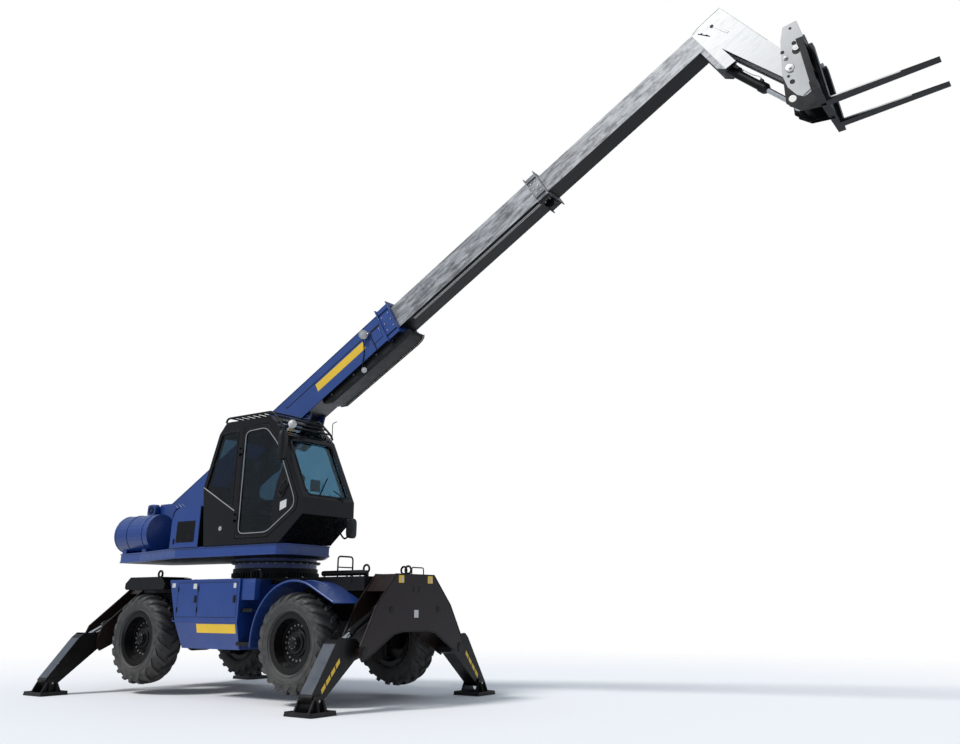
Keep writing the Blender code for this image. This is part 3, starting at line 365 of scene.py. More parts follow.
def paint(name, colour, rough=0.32, coat=0.4, wear=0.5, bare=(0.25, 0.24, 0.23), dust=0.35, high=1.3,
          metallic=0.0, shine=0.5, extra=None):
    made, tree, shader = shader_of(name)
    drift = ramp(tree, noise(tree, 1.3, 5.0), 0.3, 0.7)
    deep = tuple(c * 0.82 for c in colour)
    shade = mix_colour(tree, drift, (*deep, 1), (*colour, 1))
    if extra:
        shade = extra(tree, shade)
    shade = mix_colour(tree, use(tree, "Worn edges", Radius=0.006, Amount=wear), shade, (*bare, 1))
    dirt = use(tree, "Site dust", High=high, Amount=dust)
    tree.links.new(mix_colour(tree, dirt, shade, DUST), shader.inputs["Base Color"])
    smear = ramp(tree, noise(tree, 9.0, 6.0), 0.3, 0.8, rough - 0.06, rough + 0.14)
    tree.links.new(math_node(tree, "ADD", smear, math_node(tree, "MULTIPLY", dirt, 0.5)),
                   shader.inputs["Roughness"])
    shader.inputs["Metallic"].default_value = metallic
    shader.inputs["Specular IOR Level"].default_value = shine
    shader.inputs["Coat Weight"].default_value = coat
    shader.inputs["Coat Roughness"].default_value = 0.12
    set_bump(tree, shader, use(tree, "Sprayed grain", Scale=240.0, Depth=0.3), 0.12)
    return made


def along_boom(tree):
    """Distance along the boom and height across it, from the point's place."""
    spot = add(tree, "TexCoord").outputs["Object"]
    start = add(tree, "VectorMath", {0: spot, 1: tuple(PIVOT)}, operation="SUBTRACT").outputs[0]
    return [add(tree, "VectorMath", {0: start, 1: tuple(way)}, operation="DOT_PRODUCT").outputs["Value"]
            for way in (ALONG, ABOVE)]


def facing(tree, way, low=0.5, high=0.6):
    """One where the surface points a given way, zero elsewhere."""
    normal = add(tree, "TexCoord").outputs["Normal"]
    dot = add(tree, "VectorMath", {0: normal, 1: tuple(way)}, operation="DOT_PRODUCT").outputs["Value"]
    return ramp(tree, dot, low, high)


# Painted shade: faces that point down are darkened to a near-black navy, for the shade under the boom.
def painted_shade_underside(tree, shade):
    return mix_colour(tree, facing(tree, -ABOVE), shade, (0.004, 0.006, 0.014, 1))


BLUE = paint("deep_blue_paint", (0.006, 0.040, 0.205), coat=0.25, wear=0.25, dust=0.12)
BOOM_BLUE = paint("boom_blue_paint", (0.009, 0.048, 0.220), coat=0.25, wear=0.25, dust=0.1,
                  extra=painted_shade_underside)
BLACK = paint("satin_black_paint", (0.0040, 0.0040, 0.0044), rough=0.34, coat=0.04, wear=0.2,
              bare=(0.10, 0.10, 0.10), dust=0.04, shine=0.22)
CAB_BLACK = paint("cab_black_paint", (0.0030, 0.0030, 0.0034), rough=0.22, coat=0.10, wear=0.1, dust=0.02,
                  shine=0.25)
STAND_BROWN = paint("stabiliser_brown_black", (0.0165, 0.0095, 0.0085), rough=0.32, coat=0.05, wear=0.4,
                    bare=(0.12, 0.09, 0.08), dust=0.04, shine=0.25)
# Painted reflection: a blue-grey that stands in for the sky reflected in the legs' outer faces.
LEG_SKY_REFLECTION = paint("leg_face_grey", (0.040, 0.050, 0.068), rough=0.30, wear=0.3, dust=0.1)
IRON = paint("chassis_black", (0.0055, 0.0055, 0.006), rough=0.5, coat=0.0, wear=0.3, dust=0.08, shine=0.2)
WHITE = paint("white_paint", (0.55, 0.55, 0.54), rough=0.35, coat=0.3, wear=0.4, bare=(0.2, 0.2, 0.2),
              dust=0.1)
YELLOW = paint("signal_yellow", (0.78, 0.50, 0.02), rough=0.45, coat=0.1, wear=0.3, dust=0.1)
STEEL = paint("zinc_steel", (0.42, 0.42, 0.41), rough=0.38, coat=0.0, wear=0.0, dust=0.1, metallic=0.85)
TRIM = paint("grey_trim", (0.30, 0.30, 0.30), rough=0.5, coat=0.0, wear=0.0, dust=0.1)
PLASTIC = paint("black_plastic", (0.007, 0.007, 0.0075), rough=0.5, coat=0.0, wear=0.0, dust=0.03,
                shine=0.25)
print("paints", len(bpy.data.materials))

# %% [markdown]
# The two sliding boom sections run in and out of greased pads, so their silver-grey paint is
# polished in long strokes and smeared with dark patches. The strokes follow the boom because the
# pattern is squeezed along it: a small scale lengthwise and a large one across. Faces that point
# down are darkened to near black as painted shade.

# %% The sliding sections' silver finish
def silver(name, head_from=None):
    made, tree, shader = shader_of(name)
    length, up = along_boom(tree)
    side = add(tree, "SeparateXYZ", {0: add(tree, "TexCoord").outputs["Object"]}).outputs["Y"]
    stretch = add(tree, "CombineXYZ", {0: math_node(tree, "MULTIPLY", length, 0.16), 1: side, 2: up})
    streak = noise(tree, 22.0, 7.0, stretch.outputs[0], 0.65)
    broad = add(tree, "CombineXYZ", {0: math_node(tree, "MULTIPLY", length, 0.45), 1: side, 2: up})
    patch = ramp(tree, noise(tree, 7.5, 8.0, broad.outputs[0], 0.7), 0.50, 0.60)
    shade = mix_colour(tree, ramp(tree, streak, 0.35, 0.65), (0.13, 0.135, 0.14, 1), (0.40, 0.41, 0.42, 1))
    shade = mix_colour(tree, math_node(tree, "MULTIPLY", patch, 0.55), shade, (0.05, 0.052, 0.055, 1))
    groove = math_node(tree, "PINGPONG", math_node(tree, "ADD", up, 0.02), 0.065)
    line = ramp(tree, groove, 0.006, 0.001)
    shade = mix_colour(tree, math_node(tree, "MULTIPLY", line, 0.5), shade, (0.09, 0.09, 0.09, 1))
    if head_from:
        head = ramp(tree, length, head_from, head_from + 0.01)
        shade = mix_colour(tree, head, shade, (0.50, 0.50, 0.49, 1))
    # Painted shade: faces that point down are darkened to near black, for the shade under the sliding sections.
    shade = mix_colour(tree, facing(tree, -ABOVE, 0.25, 0.4), shade, (0.007, 0.007, 0.007, 1))
    shade = mix_colour(tree, use(tree, "Worn edges", Radius=0.006, Amount=0.5), shade, (0.16, 0.15, 0.14, 1))
    tree.links.new(shade, shader.inputs["Base Color"])
    tree.links.new(ramp(tree, streak, 0.3, 0.7, 0.28, 0.52), shader.inputs["Roughness"])
    shader.inputs["Metallic"].default_value = 0.25
    shader.inputs["Specular IOR Level"].default_value = 0.3
    set_bump(tree, shader, streak, 0.15, 0.003)
    return made


SILVER = silver("silver_grey_slide")
SILVER_HEAD = silver("silver_grey_and_white_head", 11.33)

# %% [markdown]
# Rubber is dark grey and never shiny: fine pores, a little brown dust in the tread, and lighter
# scuffed patches. Chrome rods are bright with a thin film of oil. Glass is tinted in its own
# colour and stays smooth. Seat vinyl has a fine leather grain.

# %% Rubber, chrome, glass and vinyl
def rubber():
    made, tree, shader = shader_of("tyre_rubber")
    scuff = ramp(tree, noise(tree, 14.0, 8.0, roughness=0.7), 0.4, 0.7)
    shade = mix_colour(tree, scuff, (0.020, 0.020, 0.020, 1), (0.050, 0.049, 0.047, 1))
    dirt = use(tree, "Site dust", Low=0.0, High=1.4, Amount=0.35)
    tree.links.new(mix_colour(tree, dirt, shade, (0.13, 0.115, 0.095, 1)), shader.inputs["Base Color"])
    tree.links.new(ramp(tree, scuff, 0.0, 1.0, 0.55, 0.78), shader.inputs["Roughness"])
    set_bump(tree, shader, noise(tree, 180.0, 6.0), 0.35, 0.003)
    return made


def chrome():
    made, tree, shader = shader_of("chromed_rod")
    film = ramp(tree, noise(tree, 25.0, 5.0), 0.35, 0.75)
    shade = mix_colour(tree, film, (0.78, 0.79, 0.80, 1), (0.55, 0.54, 0.50, 1))
    tree.links.new(shade, shader.inputs["Base Color"])
    tree.links.new(ramp(tree, film, 0, 1, 0.10, 0.28), shader.inputs["Roughness"])
    shader.inputs["Metallic"].default_value = 1.0
    return made


def tinted(name, colour, dirty):
    made, tree, shader = shader_of(name)
    haze = math_node(tree, "MULTIPLY", ramp(tree, noise(tree, 5.0, 7.0, roughness=0.7), 0.45, 0.8), 0.35)
    tree.links.new(mix_colour(tree, haze, (*colour, 1), (*dirty, 1)), shader.inputs["Base Color"])
    tree.links.new(ramp(tree, haze, 0, 0.4, 0.01, 0.10), shader.inputs["Roughness"])
    shader.inputs["Transmission Weight"].default_value = 1.0
    shader.inputs["IOR"].default_value = 1.3
    return made


def vinyl():
    made, tree, shader = shader_of("seat_vinyl")
    cells = add(tree, "TexVoronoi", {"Vector": add(tree, "TexCoord").outputs["Object"], "Scale": 420.0})
    rubbed = ramp(tree, noise(tree, 6.0), 0.4, 0.7)
    shade = mix_colour(tree, rubbed, (0.016, 0.016, 0.017, 1), (0.035, 0.034, 0.033, 1))
    tree.links.new(shade, shader.inputs["Base Color"])
    tree.links.new(ramp(tree, rubbed, 0, 1, 0.42, 0.6), shader.inputs["Roughness"])
    set_bump(tree, shader, cells.outputs["Distance"], 0.3, 0.001)
    return made


RUBBER = rubber()
CHROME = chrome()
SCREEN_GLASS = tinted("windscreen_glass", (0.26, 0.56, 0.72), (0.45, 0.66, 0.78))
SIDE_GLASS = tinted("side_window_glass", (0.12, 0.20, 0.26), (0.22, 0.30, 0.36))
VINYL = vinyl()
print("finishes", len(bpy.data.materials))

# %% [markdown]
# Every steel node takes one of these finishes. The names say what a node is, so a short list of
# name beginnings is enough.

# %% Finish every steel node
FINISH_OF = {
    "chassis_frame": IRON, "front_axle": IRON, "rear_axle": IRON, "knuckle": IRON, "engine_block": IRON,
    "side_box": BLUE, "front_fender": BLUE, "rear_fender": BLACK, "front_stabiliser": STAND_BROWN,
    "rear_stabiliser": STAND_BROWN, "rim": BLACK, "tyre": RUBBER, "leg_front": BLACK, "leg_rear": BLACK,
    "pad": BLACK, "leg_barrel": BLACK, "leg_rod": CHROME, "turret": BLUE, "cab_shell": CAB_BLACK,
    "cab_door": CAB_BLACK, "windscreen": SCREEN_GLASS, "door_glass": SIDE_GLASS, "seat": VINYL,
    "engine_cover": BLUE, "rear_tank": BLUE, "boom_outer": BOOM_BLUE, "boom_middle": SILVER,
    "boom_inner": SILVER_HEAD, "fork_carriage": BLACK, "fork_right": BLACK, "fork_left": BLACK,
    "lift_barrel": BLACK, "lift_rod": CHROME, "tilt_barrel": BLACK, "tilt_rod": CHROME,
}
for name, steel in frame["nodes"].items():
    start = max((key for key in FINISH_OF if name.startswith(key)), key=len)
    steel.data.materials.clear()
    steel.data.materials.append(FINISH_OF[start])
print("finished", len(frame["nodes"]), "nodes")

# %% [markdown]
# ## Tyres
# An off-road tyre is a rounded carcass with thick bars that run from the middle of the tread over
# the shoulder and part of the way down the wall. The carcass is one smooth outline turned about
# the axle. A bar follows the same outline: it starts at the crown, slants round the wheel as it
# goes outwards, and stands proud of the rubber below. Bars on the two sides are half a step apart.

# %% Tyre carcass and tread bars
SIDES = (("right", -1), ("left", 1))
ENDS = ("front", "rear")
HUBS = {f"{end}_{side}": np.array(joints[f"spin_{end}_{side}"]["pos_m"]) for end in ENDS for side, _ in SIDES}
low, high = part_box("tyre_front_right")
TYRE_R = (high.z - low.z) / 2
TYRE_HALF = (high.y - low.y) / 2
BARS, SLANT = 21, 0.34
CROWN_R = TYRE_R - 0.037
outline = spline([(0.0, CROWN_R), (0.08, CROWN_R - 0.002), (0.15, CROWN_R - 0.014), (0.185, CROWN_R - 0.042),
                  (TYRE_HALF - 0.010, 0.49), (TYRE_HALF - 0.002, 0.44), (TYRE_HALF - 0.012, 0.395),
                  (0.182, 0.358), (0.150, 0.350)], 41)


def carcass():
    """The outline mirrored across the middle and turned about the axle."""
    ring = np.concatenate([outline[::-1] * (-1, 1), outline[1:], [(0.15, 0.315), (-0.15, 0.315)]])
    return turned(ring, steps=72, closed=True)


def wall_rings():
    """Two fine raised rings on each wall, where the mould parts and where the rim flange sits."""
    sizes = ((0.452, TYRE_HALF - 0.003, 0.005), (0.380, TYRE_HALF - 0.016, 0.008))
    return merged(*[turned(circle(thick, 6) + (sign * out, radius), steps=72, closed=True)
                    for sign in (-1, 1) for radius, out, thick in sizes])


def tread_bars():
    """Bars over a grid: along the outline from crown to wall, and round a four-point section.

    At outline point u the bar's middle is SLANT times u behind its start, its half width grows
    from 24 mm to 44 mm, and its height falls from the tread's full depth to 6 mm on the wall.
    """
    u = np.linspace(0.0, 1.0, 9)
    at = np.interp(u, [0, 1], [0, 24]).astype(int)
    spine = outline[at]
    slope = np.gradient(outline, axis=0)[at]
    normal = np.stack([-slope[:, 1], slope[:, 0]], -1)
    normal *= np.sign(normal[:, 1:2] + 1e-9) / np.linalg.norm(normal, axis=1, keepdims=True)
    normal[-3:] = np.abs(normal[-3:])
    height = np.interp(u, [0, 0.55, 1], [0.0365, 0.030, 0.006])
    half = np.interp(u, [0, 0.6, 1], [0.024, 0.033, 0.044])
    section = np.array([(-1.25, -0.4), (-0.85, 1.0), (0.85, 1.0), (1.25, -0.4)])
    parts = []
    for sign in (-1, 1):
        start = np.linspace(0, 2 * np.pi, BARS, endpoint=False) + (sign > 0) * np.pi / BARS
        lift = spine[:, None] + section[None, :, 1, None] * height[:, None, None] * normal[:, None]
        y = np.minimum(lift[..., 0], TYRE_HALF - 0.002)
        radius = np.minimum(lift[..., 1], TYRE_R - 0.0005)
        angle = SLANT * u[:, None] + section[None, :, 0] * half[:, None] / radius
        turn = start[:, None, None] - angle[None]
        points = np.stack([radius * np.cos(turn), radius * np.sin(turn), sign * y + 0 * turn], -1)
        one, faces = grid(points[0], False, True)
        caps = [np.arange(4)[None], np.arange(4)[None] + 32]
        count = len(one)
        steps = np.arange(BARS) * count
        verts = points.reshape(-1, 3)
        parts.append((verts, [(f[None] + steps[:, None, None]).reshape(-1, 4) for f in [*faces, *caps]]))
    return merged(*parts)


def wheel_place(tag):
    """The wheel's own axis, Z in the patch, lies along the machine's Y."""
    return placed(HUBS[tag], (1, 0, 0), (0, 0, -1), (0, 1, 0))


tyre_patch = merged(carcass(), wall_rings(), tread_bars())
for tag in HUBS:
    tyre = piece("tyre_detail_" + tag, moved(tyre_patch, wheel_place(tag)), RUBBER, "wheel_" + tag)
    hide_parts("tyre_" + tag)
print("tyre faces", sum(len(f) for f in tyre_patch[1]))

# %% [markdown]
# ## Hubs
# Each wheel is held by a circle of nuts round a planetary hub. The hub's cover is a stepped disc
# with its own smaller bolts and a filler plug. The rim has a rolled flange and a tyre valve.

# %% Hub covers, wheel nuts and rim edges
for tag, hub in HUBS.items():
    sign = 1 if tag.endswith("left") else -1
    out = placed(hub, (1, 0, 0), (0, 0, -sign), (0, sign, 0))
    cover = turned([(0.119, 0), (0.119, 0.074), (0.128, 0.070), (0.132, 0.055), (0.140, 0.050), (0.140, 0)],
                   out)
    collar = turned([(0.028, 0.165), (0.05, 0.16), (0.058, 0.135), (0.078, 0.128), (0.082, 0.092),
                     (0.108, 0.086),
                     (0.108, 0.05), (0.028, 0.05)], out, 48, True)
    plug = turned([(0.139, 0), (0.139, 0.016), (0.150, 0.014), (0.150, 0)], out, 6)
    piece("hub_cover_" + tag, merged(cover, collar, plug), BLACK, "wheel_" + tag, 0.002)
    nuts = bolts(ring_points(hub + (0, sign * 0.031, 0), (0, sign, 0), 0.205, 20), (0, sign, 0), 0.0125)
    studs = bolts(ring_points(hub + (0, sign * 0.046, 0), (0, sign, 0), 0.147, 14), (0, sign, 0), 0.009)
    caps = bolts(ring_points(hub + (0, sign * 0.129, 0), (0, sign, 0), 0.062, 8), (0, sign, 0), 0.006)
    piece("wheel_nuts_" + tag, merged(nuts, studs, caps), STEEL, "wheel_" + tag)
    flange = turned(circle(0.007, 8) + (0.168, 0.347), out, 64, True)
    groove = turned(circle(0.006, 8) + (0.036, 0.256), out, 64, True)
    piece("rim_flange_" + tag, merged(flange, groove), BLACK, "wheel_" + tag)
    valve = hose([hub + p for p in ((0.20, sign * 0.04, 0.10), (0.22, sign * 0.07, 0.11),
                                    (0.24, sign * 0.09, 0.12))],
                 0.006, count=8)
    piece("valve_" + tag, valve, PLASTIC, "wheel_" + tag)
print("wheels dressed", len(HUBS))

# %% [markdown]
# ## Chassis flanks
# The side boxes are folded sheet: doors with a dark gap round them, hinges, a latch, a blank
# yellow name strip and small blank labels. The front mudguards have a rolled edge. Steps with
# raised treads climb to the cab.

# %% Side boxes: doors, strip, labels, hinges
def flat_frame(outer, inner_by, low, high, place):
    """A rectangular ring: four bars laid round a rectangle given as x and z limits."""
    (x0, x1), (z0, z1) = outer
    w = inner_by
    return merged(block((x0, x1), (low, high), (z0, z0 + w), place),
                  block((x0, x1), (low, high), (z1 - w, z1), place),
                  block((x0, x0 + w), (low, high), (z0 + w, z1 - w), place),
                  block((x1 - w, x1), (low, high), (z0 + w, z1 - w), place))


def mirrored(sign):
    """The machine's frame, or its mirror image across the middle plane."""
    return placed((SLEW_X, 0, 0), (1, 0, 0), (0, sign, 0), (0, 0, 1))


# The wall is upright down to LEAN_FROM_Z and leans in below it, where the yellow strip lies.
WALL_Y, STRIP_Y, LEAN_FROM_Z, LEAN = 1.170, 1.1565, 0.92, 0.10 / 0.42
for side, sign in SIDES:
    flank = mirrored(sign)
    wall = WALL_Y
    seams = merged(flat_frame(((-0.72, -0.30), (0.985, 1.425)), 0.006, wall - 0.002, wall + 0.0012, flank),
                   flat_frame(((-0.285, 0.50), (0.985, 1.425)), 0.006, wall - 0.002, wall + 0.0012, flank))
    piece("door_gaps_" + side, seams, PLASTIC, "chassis")
    ribs = merged(block((-0.775, 0.54), (wall - 0.001, wall + 0.006), (0.925, 0.945), flank),
                  block((-0.90, 0.54), (wall - 0.001, wall + 0.004), (1.445, 1.462), flank))
    piece("fold_lines_" + side, ribs, BLUE, "chassis", 0.002)
    hinge = turned([(-0.03, 0), (-0.03, 0.008), (0.03, 0.008), (0.03, 0)], steps=10)
    knuckles = [flank @ placed((x, wall + 0.004, z), (1, 0, 0), (0, 1, 0), (0, 0, 1))
                for x in (-0.715, -0.29) for z in (1.08, 1.34)]
    piece("box_hinges_" + side, copies(hinge, knuckles), BLACK, "chassis")
    latches = merged(block((-0.36, -0.32), (wall, wall + 0.012), (1.17, 1.26), flank),
                     block((0.43, 0.47), (wall, wall + 0.012), (1.17, 1.26), flank))
    piece("box_latches_" + side, latches, PLASTIC, "chassis", 0.003)
    labels = merged(block((-0.86, -0.79), (wall, wall + 0.001), (1.365, 1.42), flank),
                    block((-0.40, -0.33), (wall + 0.001, wall + 0.002), (1.345, 1.41), flank),
                    block((0.42, 0.47), (wall + 0.001, wall + 0.002), (1.35, 1.41), flank))
    piece("small_labels_" + side, labels, WHITE, "chassis")
    verts, faces = slab([(-0.27, 0.795), (0.505, 0.795), (0.505, 0.905), (-0.27, 0.905)], 0, 0.0015,
                        placed((SLEW_X, sign * STRIP_Y, 0), (1, 0, 0), (0, sign, 0), (0, 0, 1)))
    lean = WALL_Y - (LEAN_FROM_Z - verts[:, 2]) * LEAN
    verts[:, 1] = sign * (lean + (np.abs(verts[:, 1]) - STRIP_Y) + 0.001)
    piece("blank_yellow_strip_" + side, (verts, faces), YELLOW, "chassis")
    step_x = np.linspace(0.55, 0.74, 7)
    for number, z in enumerate((0.69, 1.09)):
        ridges = merged(*[block((x, x + 0.008), (0.66, 1.11), (z, z + 0.008), flank) for x in step_x])
        lip = block((0.50, 0.765), (1.112, 1.125), (z - 0.035, z + 0.006), flank)
        piece(f"step_tread_{side}_{number}", merged(ridges, lip), BLACK, "chassis")
    panel = merged(block((0.543, 0.80), (1.05, 1.14), (1.20, 1.46), flank),
                   block((0.56, 0.78), (1.135, 1.143), (1.23, 1.43), flank))
    piece("step_panel_" + side, panel, BLUE, "chassis", 0.006)
    rail = bar([(0.58, 1.02, 1.45), (0.58, 1.02, 1.575), (0.77, 1.02, 1.575), (0.77, 1.02, 1.45)], 0.010,
               0.05, flank)
    piece("step_rail_" + side, rail, BLACK, "chassis")
print("flanks dressed")

# %% Mudguards: rolled edges and stays
WHEEL_X = HUBS["front_right"][0] - SLEW_X
AXLE_Z = HUBS["front_right"][2]
for side, sign in SIDES:
    t = np.radians(np.linspace(185, 64, 40))
    arch = np.stack([WHEEL_X + 0.722 * np.cos(t), np.full(40, 1.163), AXLE_Z + 0.722 * np.sin(t)], -1)
    tail = arch[-1:] + np.linspace(0.1, 1, 8)[:, None] * np.array([[0.385, 0, -0.183]])
    edge = swept(np.concatenate([arch, tail]), circle(0.013, 10), (0, 1, 0), mirrored(sign))
    piece("mudguard_edge_" + side, edge, BLUE, "chassis")
    crease = arch * (1, 0, 1) + (0, 0.86, 0.004)
    piece("mudguard_bead_" + side, swept(crease, circle(0.008, 8), (0, 1, 0), mirrored(sign)), BLUE,
          "chassis")
    back = [(-1.12, 1.509), (-1.16, 1.515), (-1.88, 1.515), (-1.99, 1.43), (-1.99, 1.36), (-1.975, 1.36),
            (-1.972, 1.425), (-1.875, 1.506)]
    piece("rear_guard_skin_" + side, slab(back, 0.66, 1.145, mirrored(sign)), BLACK, "chassis",
          0.004)
    ring = turned(circle(0.016, 10) + (0, 0.045),
                  mirrored(sign) @ placed((-1.40, 0.98, 1.555), (1, 0, 0), (0, 0, 1),
                  (0, 1, 0)), 28, True)
    foot = block((-1.43, -1.37), (0.965, 0.995), (1.508, 1.53), mirrored(sign))
    piece("lifting_eye_" + side, merged(ring, foot), BLACK, "chassis", 0.003)
print("mudguards dressed")

# %% [markdown]
# ## Cab
# The driver looks out through flat panes that are bonded to the frame with a thin rubber seal.
# Every opening that the steelwork leaves gets its pane: the quarter window, the far side, the
# brow, the roof and the back. The door has its own pane already and gets a pale seal line, a
# handle and a blank label.

# %% Cab outline and panes
CAB_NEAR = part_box("cab_door")[0].y + 0.029
CAB_OUTLINE = [(-0.31, 1.90), (-0.43, 2.70), (-0.19, 3.44), (-0.05, 3.60), (0.862, 3.60), (1.17, 3.307),
               (1.60, 2.45), (1.60, 2.24), (1.19, 1.90)]
DOOR_OUTLINE = [(0.33, 1.98), (0.96, 1.98), (1.47, 2.30), (1.50, 2.44), (1.10, 3.23), (0.82, 3.50),
                (0.33, 3.48)]
QUARTER = [(-0.375, 2.67), (-0.125, 3.435), (0.215, 3.455), (0.215, 2.40)]
FAR_WINDOW = [(-0.37, 2.68), (-0.105, 3.43), (0.805, 3.46), (1.07, 3.205), (1.475, 2.42), (0.9, 2.19),
              (0.19, 2.41)]


def grown(outline, by):
    """An outline moved outwards: every corner slides along the mean of its two edges' normals."""
    p = np.array(outline, float)
    before, after = p - np.roll(p, 1, 0), np.roll(p, -1, 0) - p
    area = np.sum(p[:, 0] * np.roll(p[:, 1], -1) - np.roll(p[:, 0], -1) * p[:, 1])
    turn = -1 if area > 0 else 1
    n1, n2 = (np.stack([-e[:, 1], e[:, 0]], -1) / np.linalg.norm(e, axis=1, keepdims=True) * turn
              for e in (before, after))
    half = (n1 + n2) / np.linalg.norm(n1 + n2, axis=1, keepdims=True)
    return p + half * by / np.maximum(np.sum(half * n1, 1, keepdims=True), 0.3)


def rim_of(outline, width, low, high, place=MACHINE):
    """A flat band that follows an outline: the space between it and itself moved outwards."""
    inner, outer = grown(outline, 0), grown(outline, width)
    rows = [np.stack([e[:, 0], np.full(len(e), y), e[:, 1]], -1)
            for e, y in ((inner, low), (outer, low), (outer, high), (inner, high))]
    return moved(grid(np.array(rows), True, True), place)


def softened(outline, radius=0.05):
    """An outline with curved corners, closed on itself."""
    p = np.array(outline, float)
    start = (p[0] + p[-1]) / 2
    return rounded([start, *p, start], radius, 5)[:-1]


near = CAB_NEAR
piece("quarter_window", slab(QUARTER, near + 0.012, near + 0.020, MACHINE), SIDE_GLASS, "turret")
piece("far_window", slab(FAR_WINDOW, -0.150, -0.142, MACHINE), SIDE_GLASS, "turret")
piece("quarter_seal", merged(rim_of(softened(QUARTER), 0.014, near - 0.006, near + 0.012),
                             rim_of(softened(QUARTER), 0.005, near - 0.008, near - 0.004)), PLASTIC, "turret",
      0.002)


def strip_pane(a, b, first, last, inward, name, finish, thick=0.006):
    """A pane across the cab, over part of one straight edge of its outline."""
    a, b = np.array(CAB_OUTLINE[a]), np.array(CAB_OUTLINE[b])
    p, q = a + (b - a) * first, a + (b - a) * last
    normal = np.array([(q - p)[1], -(q - p)[0]]) / np.linalg.norm(q - p)
    outline = [p + normal * inward, q + normal * inward, q + normal * (inward + thick),
               p + normal * (inward + thick)]
    return piece(name, slab(outline, -1.06, -0.215, MACHINE), finish, "turret")


strip_pane(4, 5, 0.14, 0.86, 0.02, "brow_pane", SCREEN_GLASS)
strip_pane(3, 4, 0.15, 0.85, 0.02, "roof_pane", SIDE_GLASS)
strip_pane(1, 2, 0.06, 0.94, 0.02, "rear_pane", SIDE_GLASS)


def round_the_screen(y):
    """The windscreen's rubber, followed on the sloping front: a rounded rectangle on a plane."""
    a, b = np.array(CAB_OUTLINE[5]), np.array(CAB_OUTLINE[6])
    p, q = a + (b - a) * 0.06, a + (b - a) * 0.95
    corners = [(p[0], y[0], p[1]), (q[0], y[0], q[1]), (q[0], y[1], q[1]), (p[0], y[1], p[1])]
    middle = (np.array(corners[0]) + corners[3]) / 2
    return rounded([middle, *corners, middle], 0.09, 7)


piece("windscreen_seal", swept(round_the_screen((-1.058, -0.217)), circle(0.012, 8), (0.9, 0, 0.45), MACHINE),
      PLASTIC, "turret")
door_line = grown(DOOR_OUTLINE, -0.062)
piece("door_seal", rim_of(softened(door_line, 0.09), 0.010, near - 0.007, near + 0.004), TRIM, "cab_door",
      0.002)
piece("door_edge", rim_of(softened(grown(DOOR_OUTLINE, -0.012), 0.08), 0.012, near - 0.005, near + 0.002),
      PLASTIC, "cab_door", 0.002)
grip = bar([(1.17, near - 0.002, 2.52), (1.17, near - 0.045, 2.54), (1.25, near - 0.045, 2.66),
            (1.25, near - 0.002, 2.68)], 0.014, 0.03, MACHINE, (0.3, 0, 1))
boss = slab(softened([(1.10, 2.50), (1.20, 2.46), (1.32, 2.66), (1.24, 2.72)], 0.03), near - 0.008,
            near + 0.010,
            MACHINE)
piece("door_handle", merged(grip, boss), PLASTIC, "cab_door", 0.003)
lock_panel = slab(softened([(1.00, 2.30), (1.04, 2.10), (1.42, 2.36), (1.44, 2.45), (1.20, 2.92),
                            (1.10, 2.74),
                            (1.05, 2.56)], 0.06), near + 0.006, near + 0.0095, MACHINE)
piece("door_lock_panel", lock_panel, CAB_BLACK, "cab_door", 0.002)
piece("door_label", slab([(1.17, 2.30), (1.29, 2.34), (1.29, 2.44), (1.17, 2.41)], near - 0.001, near + 0.008,
                         MACHINE),
      WHITE, "cab_door")
crease = swept([(0.275, near - 0.003, 2.345), (-0.415, near - 0.003, 2.70)], circle(0.007, 8), (0, 1, 0),
               MACHINE)
piece("quarter_trim", crease, TRIM, "turret")
lock = turned([(0, 0.03), (0.012, 0.03), (0.014, 0.022), (0.014, 0)],
              placed((SLEW_X + 0.02, near, 2.12), (1, 0, 0), (0, 0, 1), (0, -1, 0)), 20)
piece("cab_lock", lock, TRIM, "turret")
print("cab glazed")

# %% [markdown]
# On the roof are a guard of parallel bars and a lamp. Two mirrors hang on bent arms, and a wiper
# lies across the windscreen. They are thin, so each is a round or flat section on a path.

# %% Roof guard, mirrors, wiper, lamp
rails = []
for y in (-1.12, -0.15):
    rails.append(bar([(-0.10, y, 3.60), (-0.08, y, 3.665), (0.86, y, 3.665), (1.13, y, 3.42),
                      (1.15, y, 3.36)],
                     0.016, 0.06, MACHINE))
slats = np.linspace(-0.02, 0.82, 8)
cross = copies(turned([(-0.485, 0), (-0.485, 0.012), (0.485, 0.012), (0.485, 0)], steps=10),
               [placed((SLEW_X + x, -0.635, 3.665), (1, 0, 0), (0, 0, 1), (0, 1, 0)) for x in slats])
brow_bars = copies(turned([(-0.485, 0), (-0.485, 0.012), (0.485, 0.012), (0.485, 0)], steps=10),
                   [placed((SLEW_X + 0.86 + 0.27 * t, -0.635, 3.665 - 0.245 * t), (1, 0, 0), (0, 0, 1),
                           (0, 1, 0))
                    for t in (0.3, 0.6, 0.9)])
piece("roof_guard", merged(*rails, cross, brow_bars), BLACK, "turret")


def mirror_head(centre, width, height, depth, turn):
    """A mirror's shell: a rounded rectangle whose size follows a superellipse through its depth."""
    u = np.linspace(-1, 1, 13)[:, None]
    t = np.linspace(0, 2 * np.pi, 32, endpoint=False)[None]
    size = (1 - np.abs(u) ** 3.5) ** (1 / 3.5)
    round_x = np.sign(np.cos(t)) * np.abs(np.cos(t)) ** 0.45
    round_z = np.sign(np.sin(t)) * np.abs(np.sin(t)) ** 0.45
    points = np.stack([depth / 2 * u + 0 * t, width / 2 * size * round_x, height / 2 * size * round_z], -1)
    c, s = math.cos(turn), math.sin(turn)
    place = placed(np.array(centre) + (SLEW_X, 0, 0), (c, s, 0), (-s, c, 0), (0, 0, 1))
    return moved(grid(points, False, True), place)


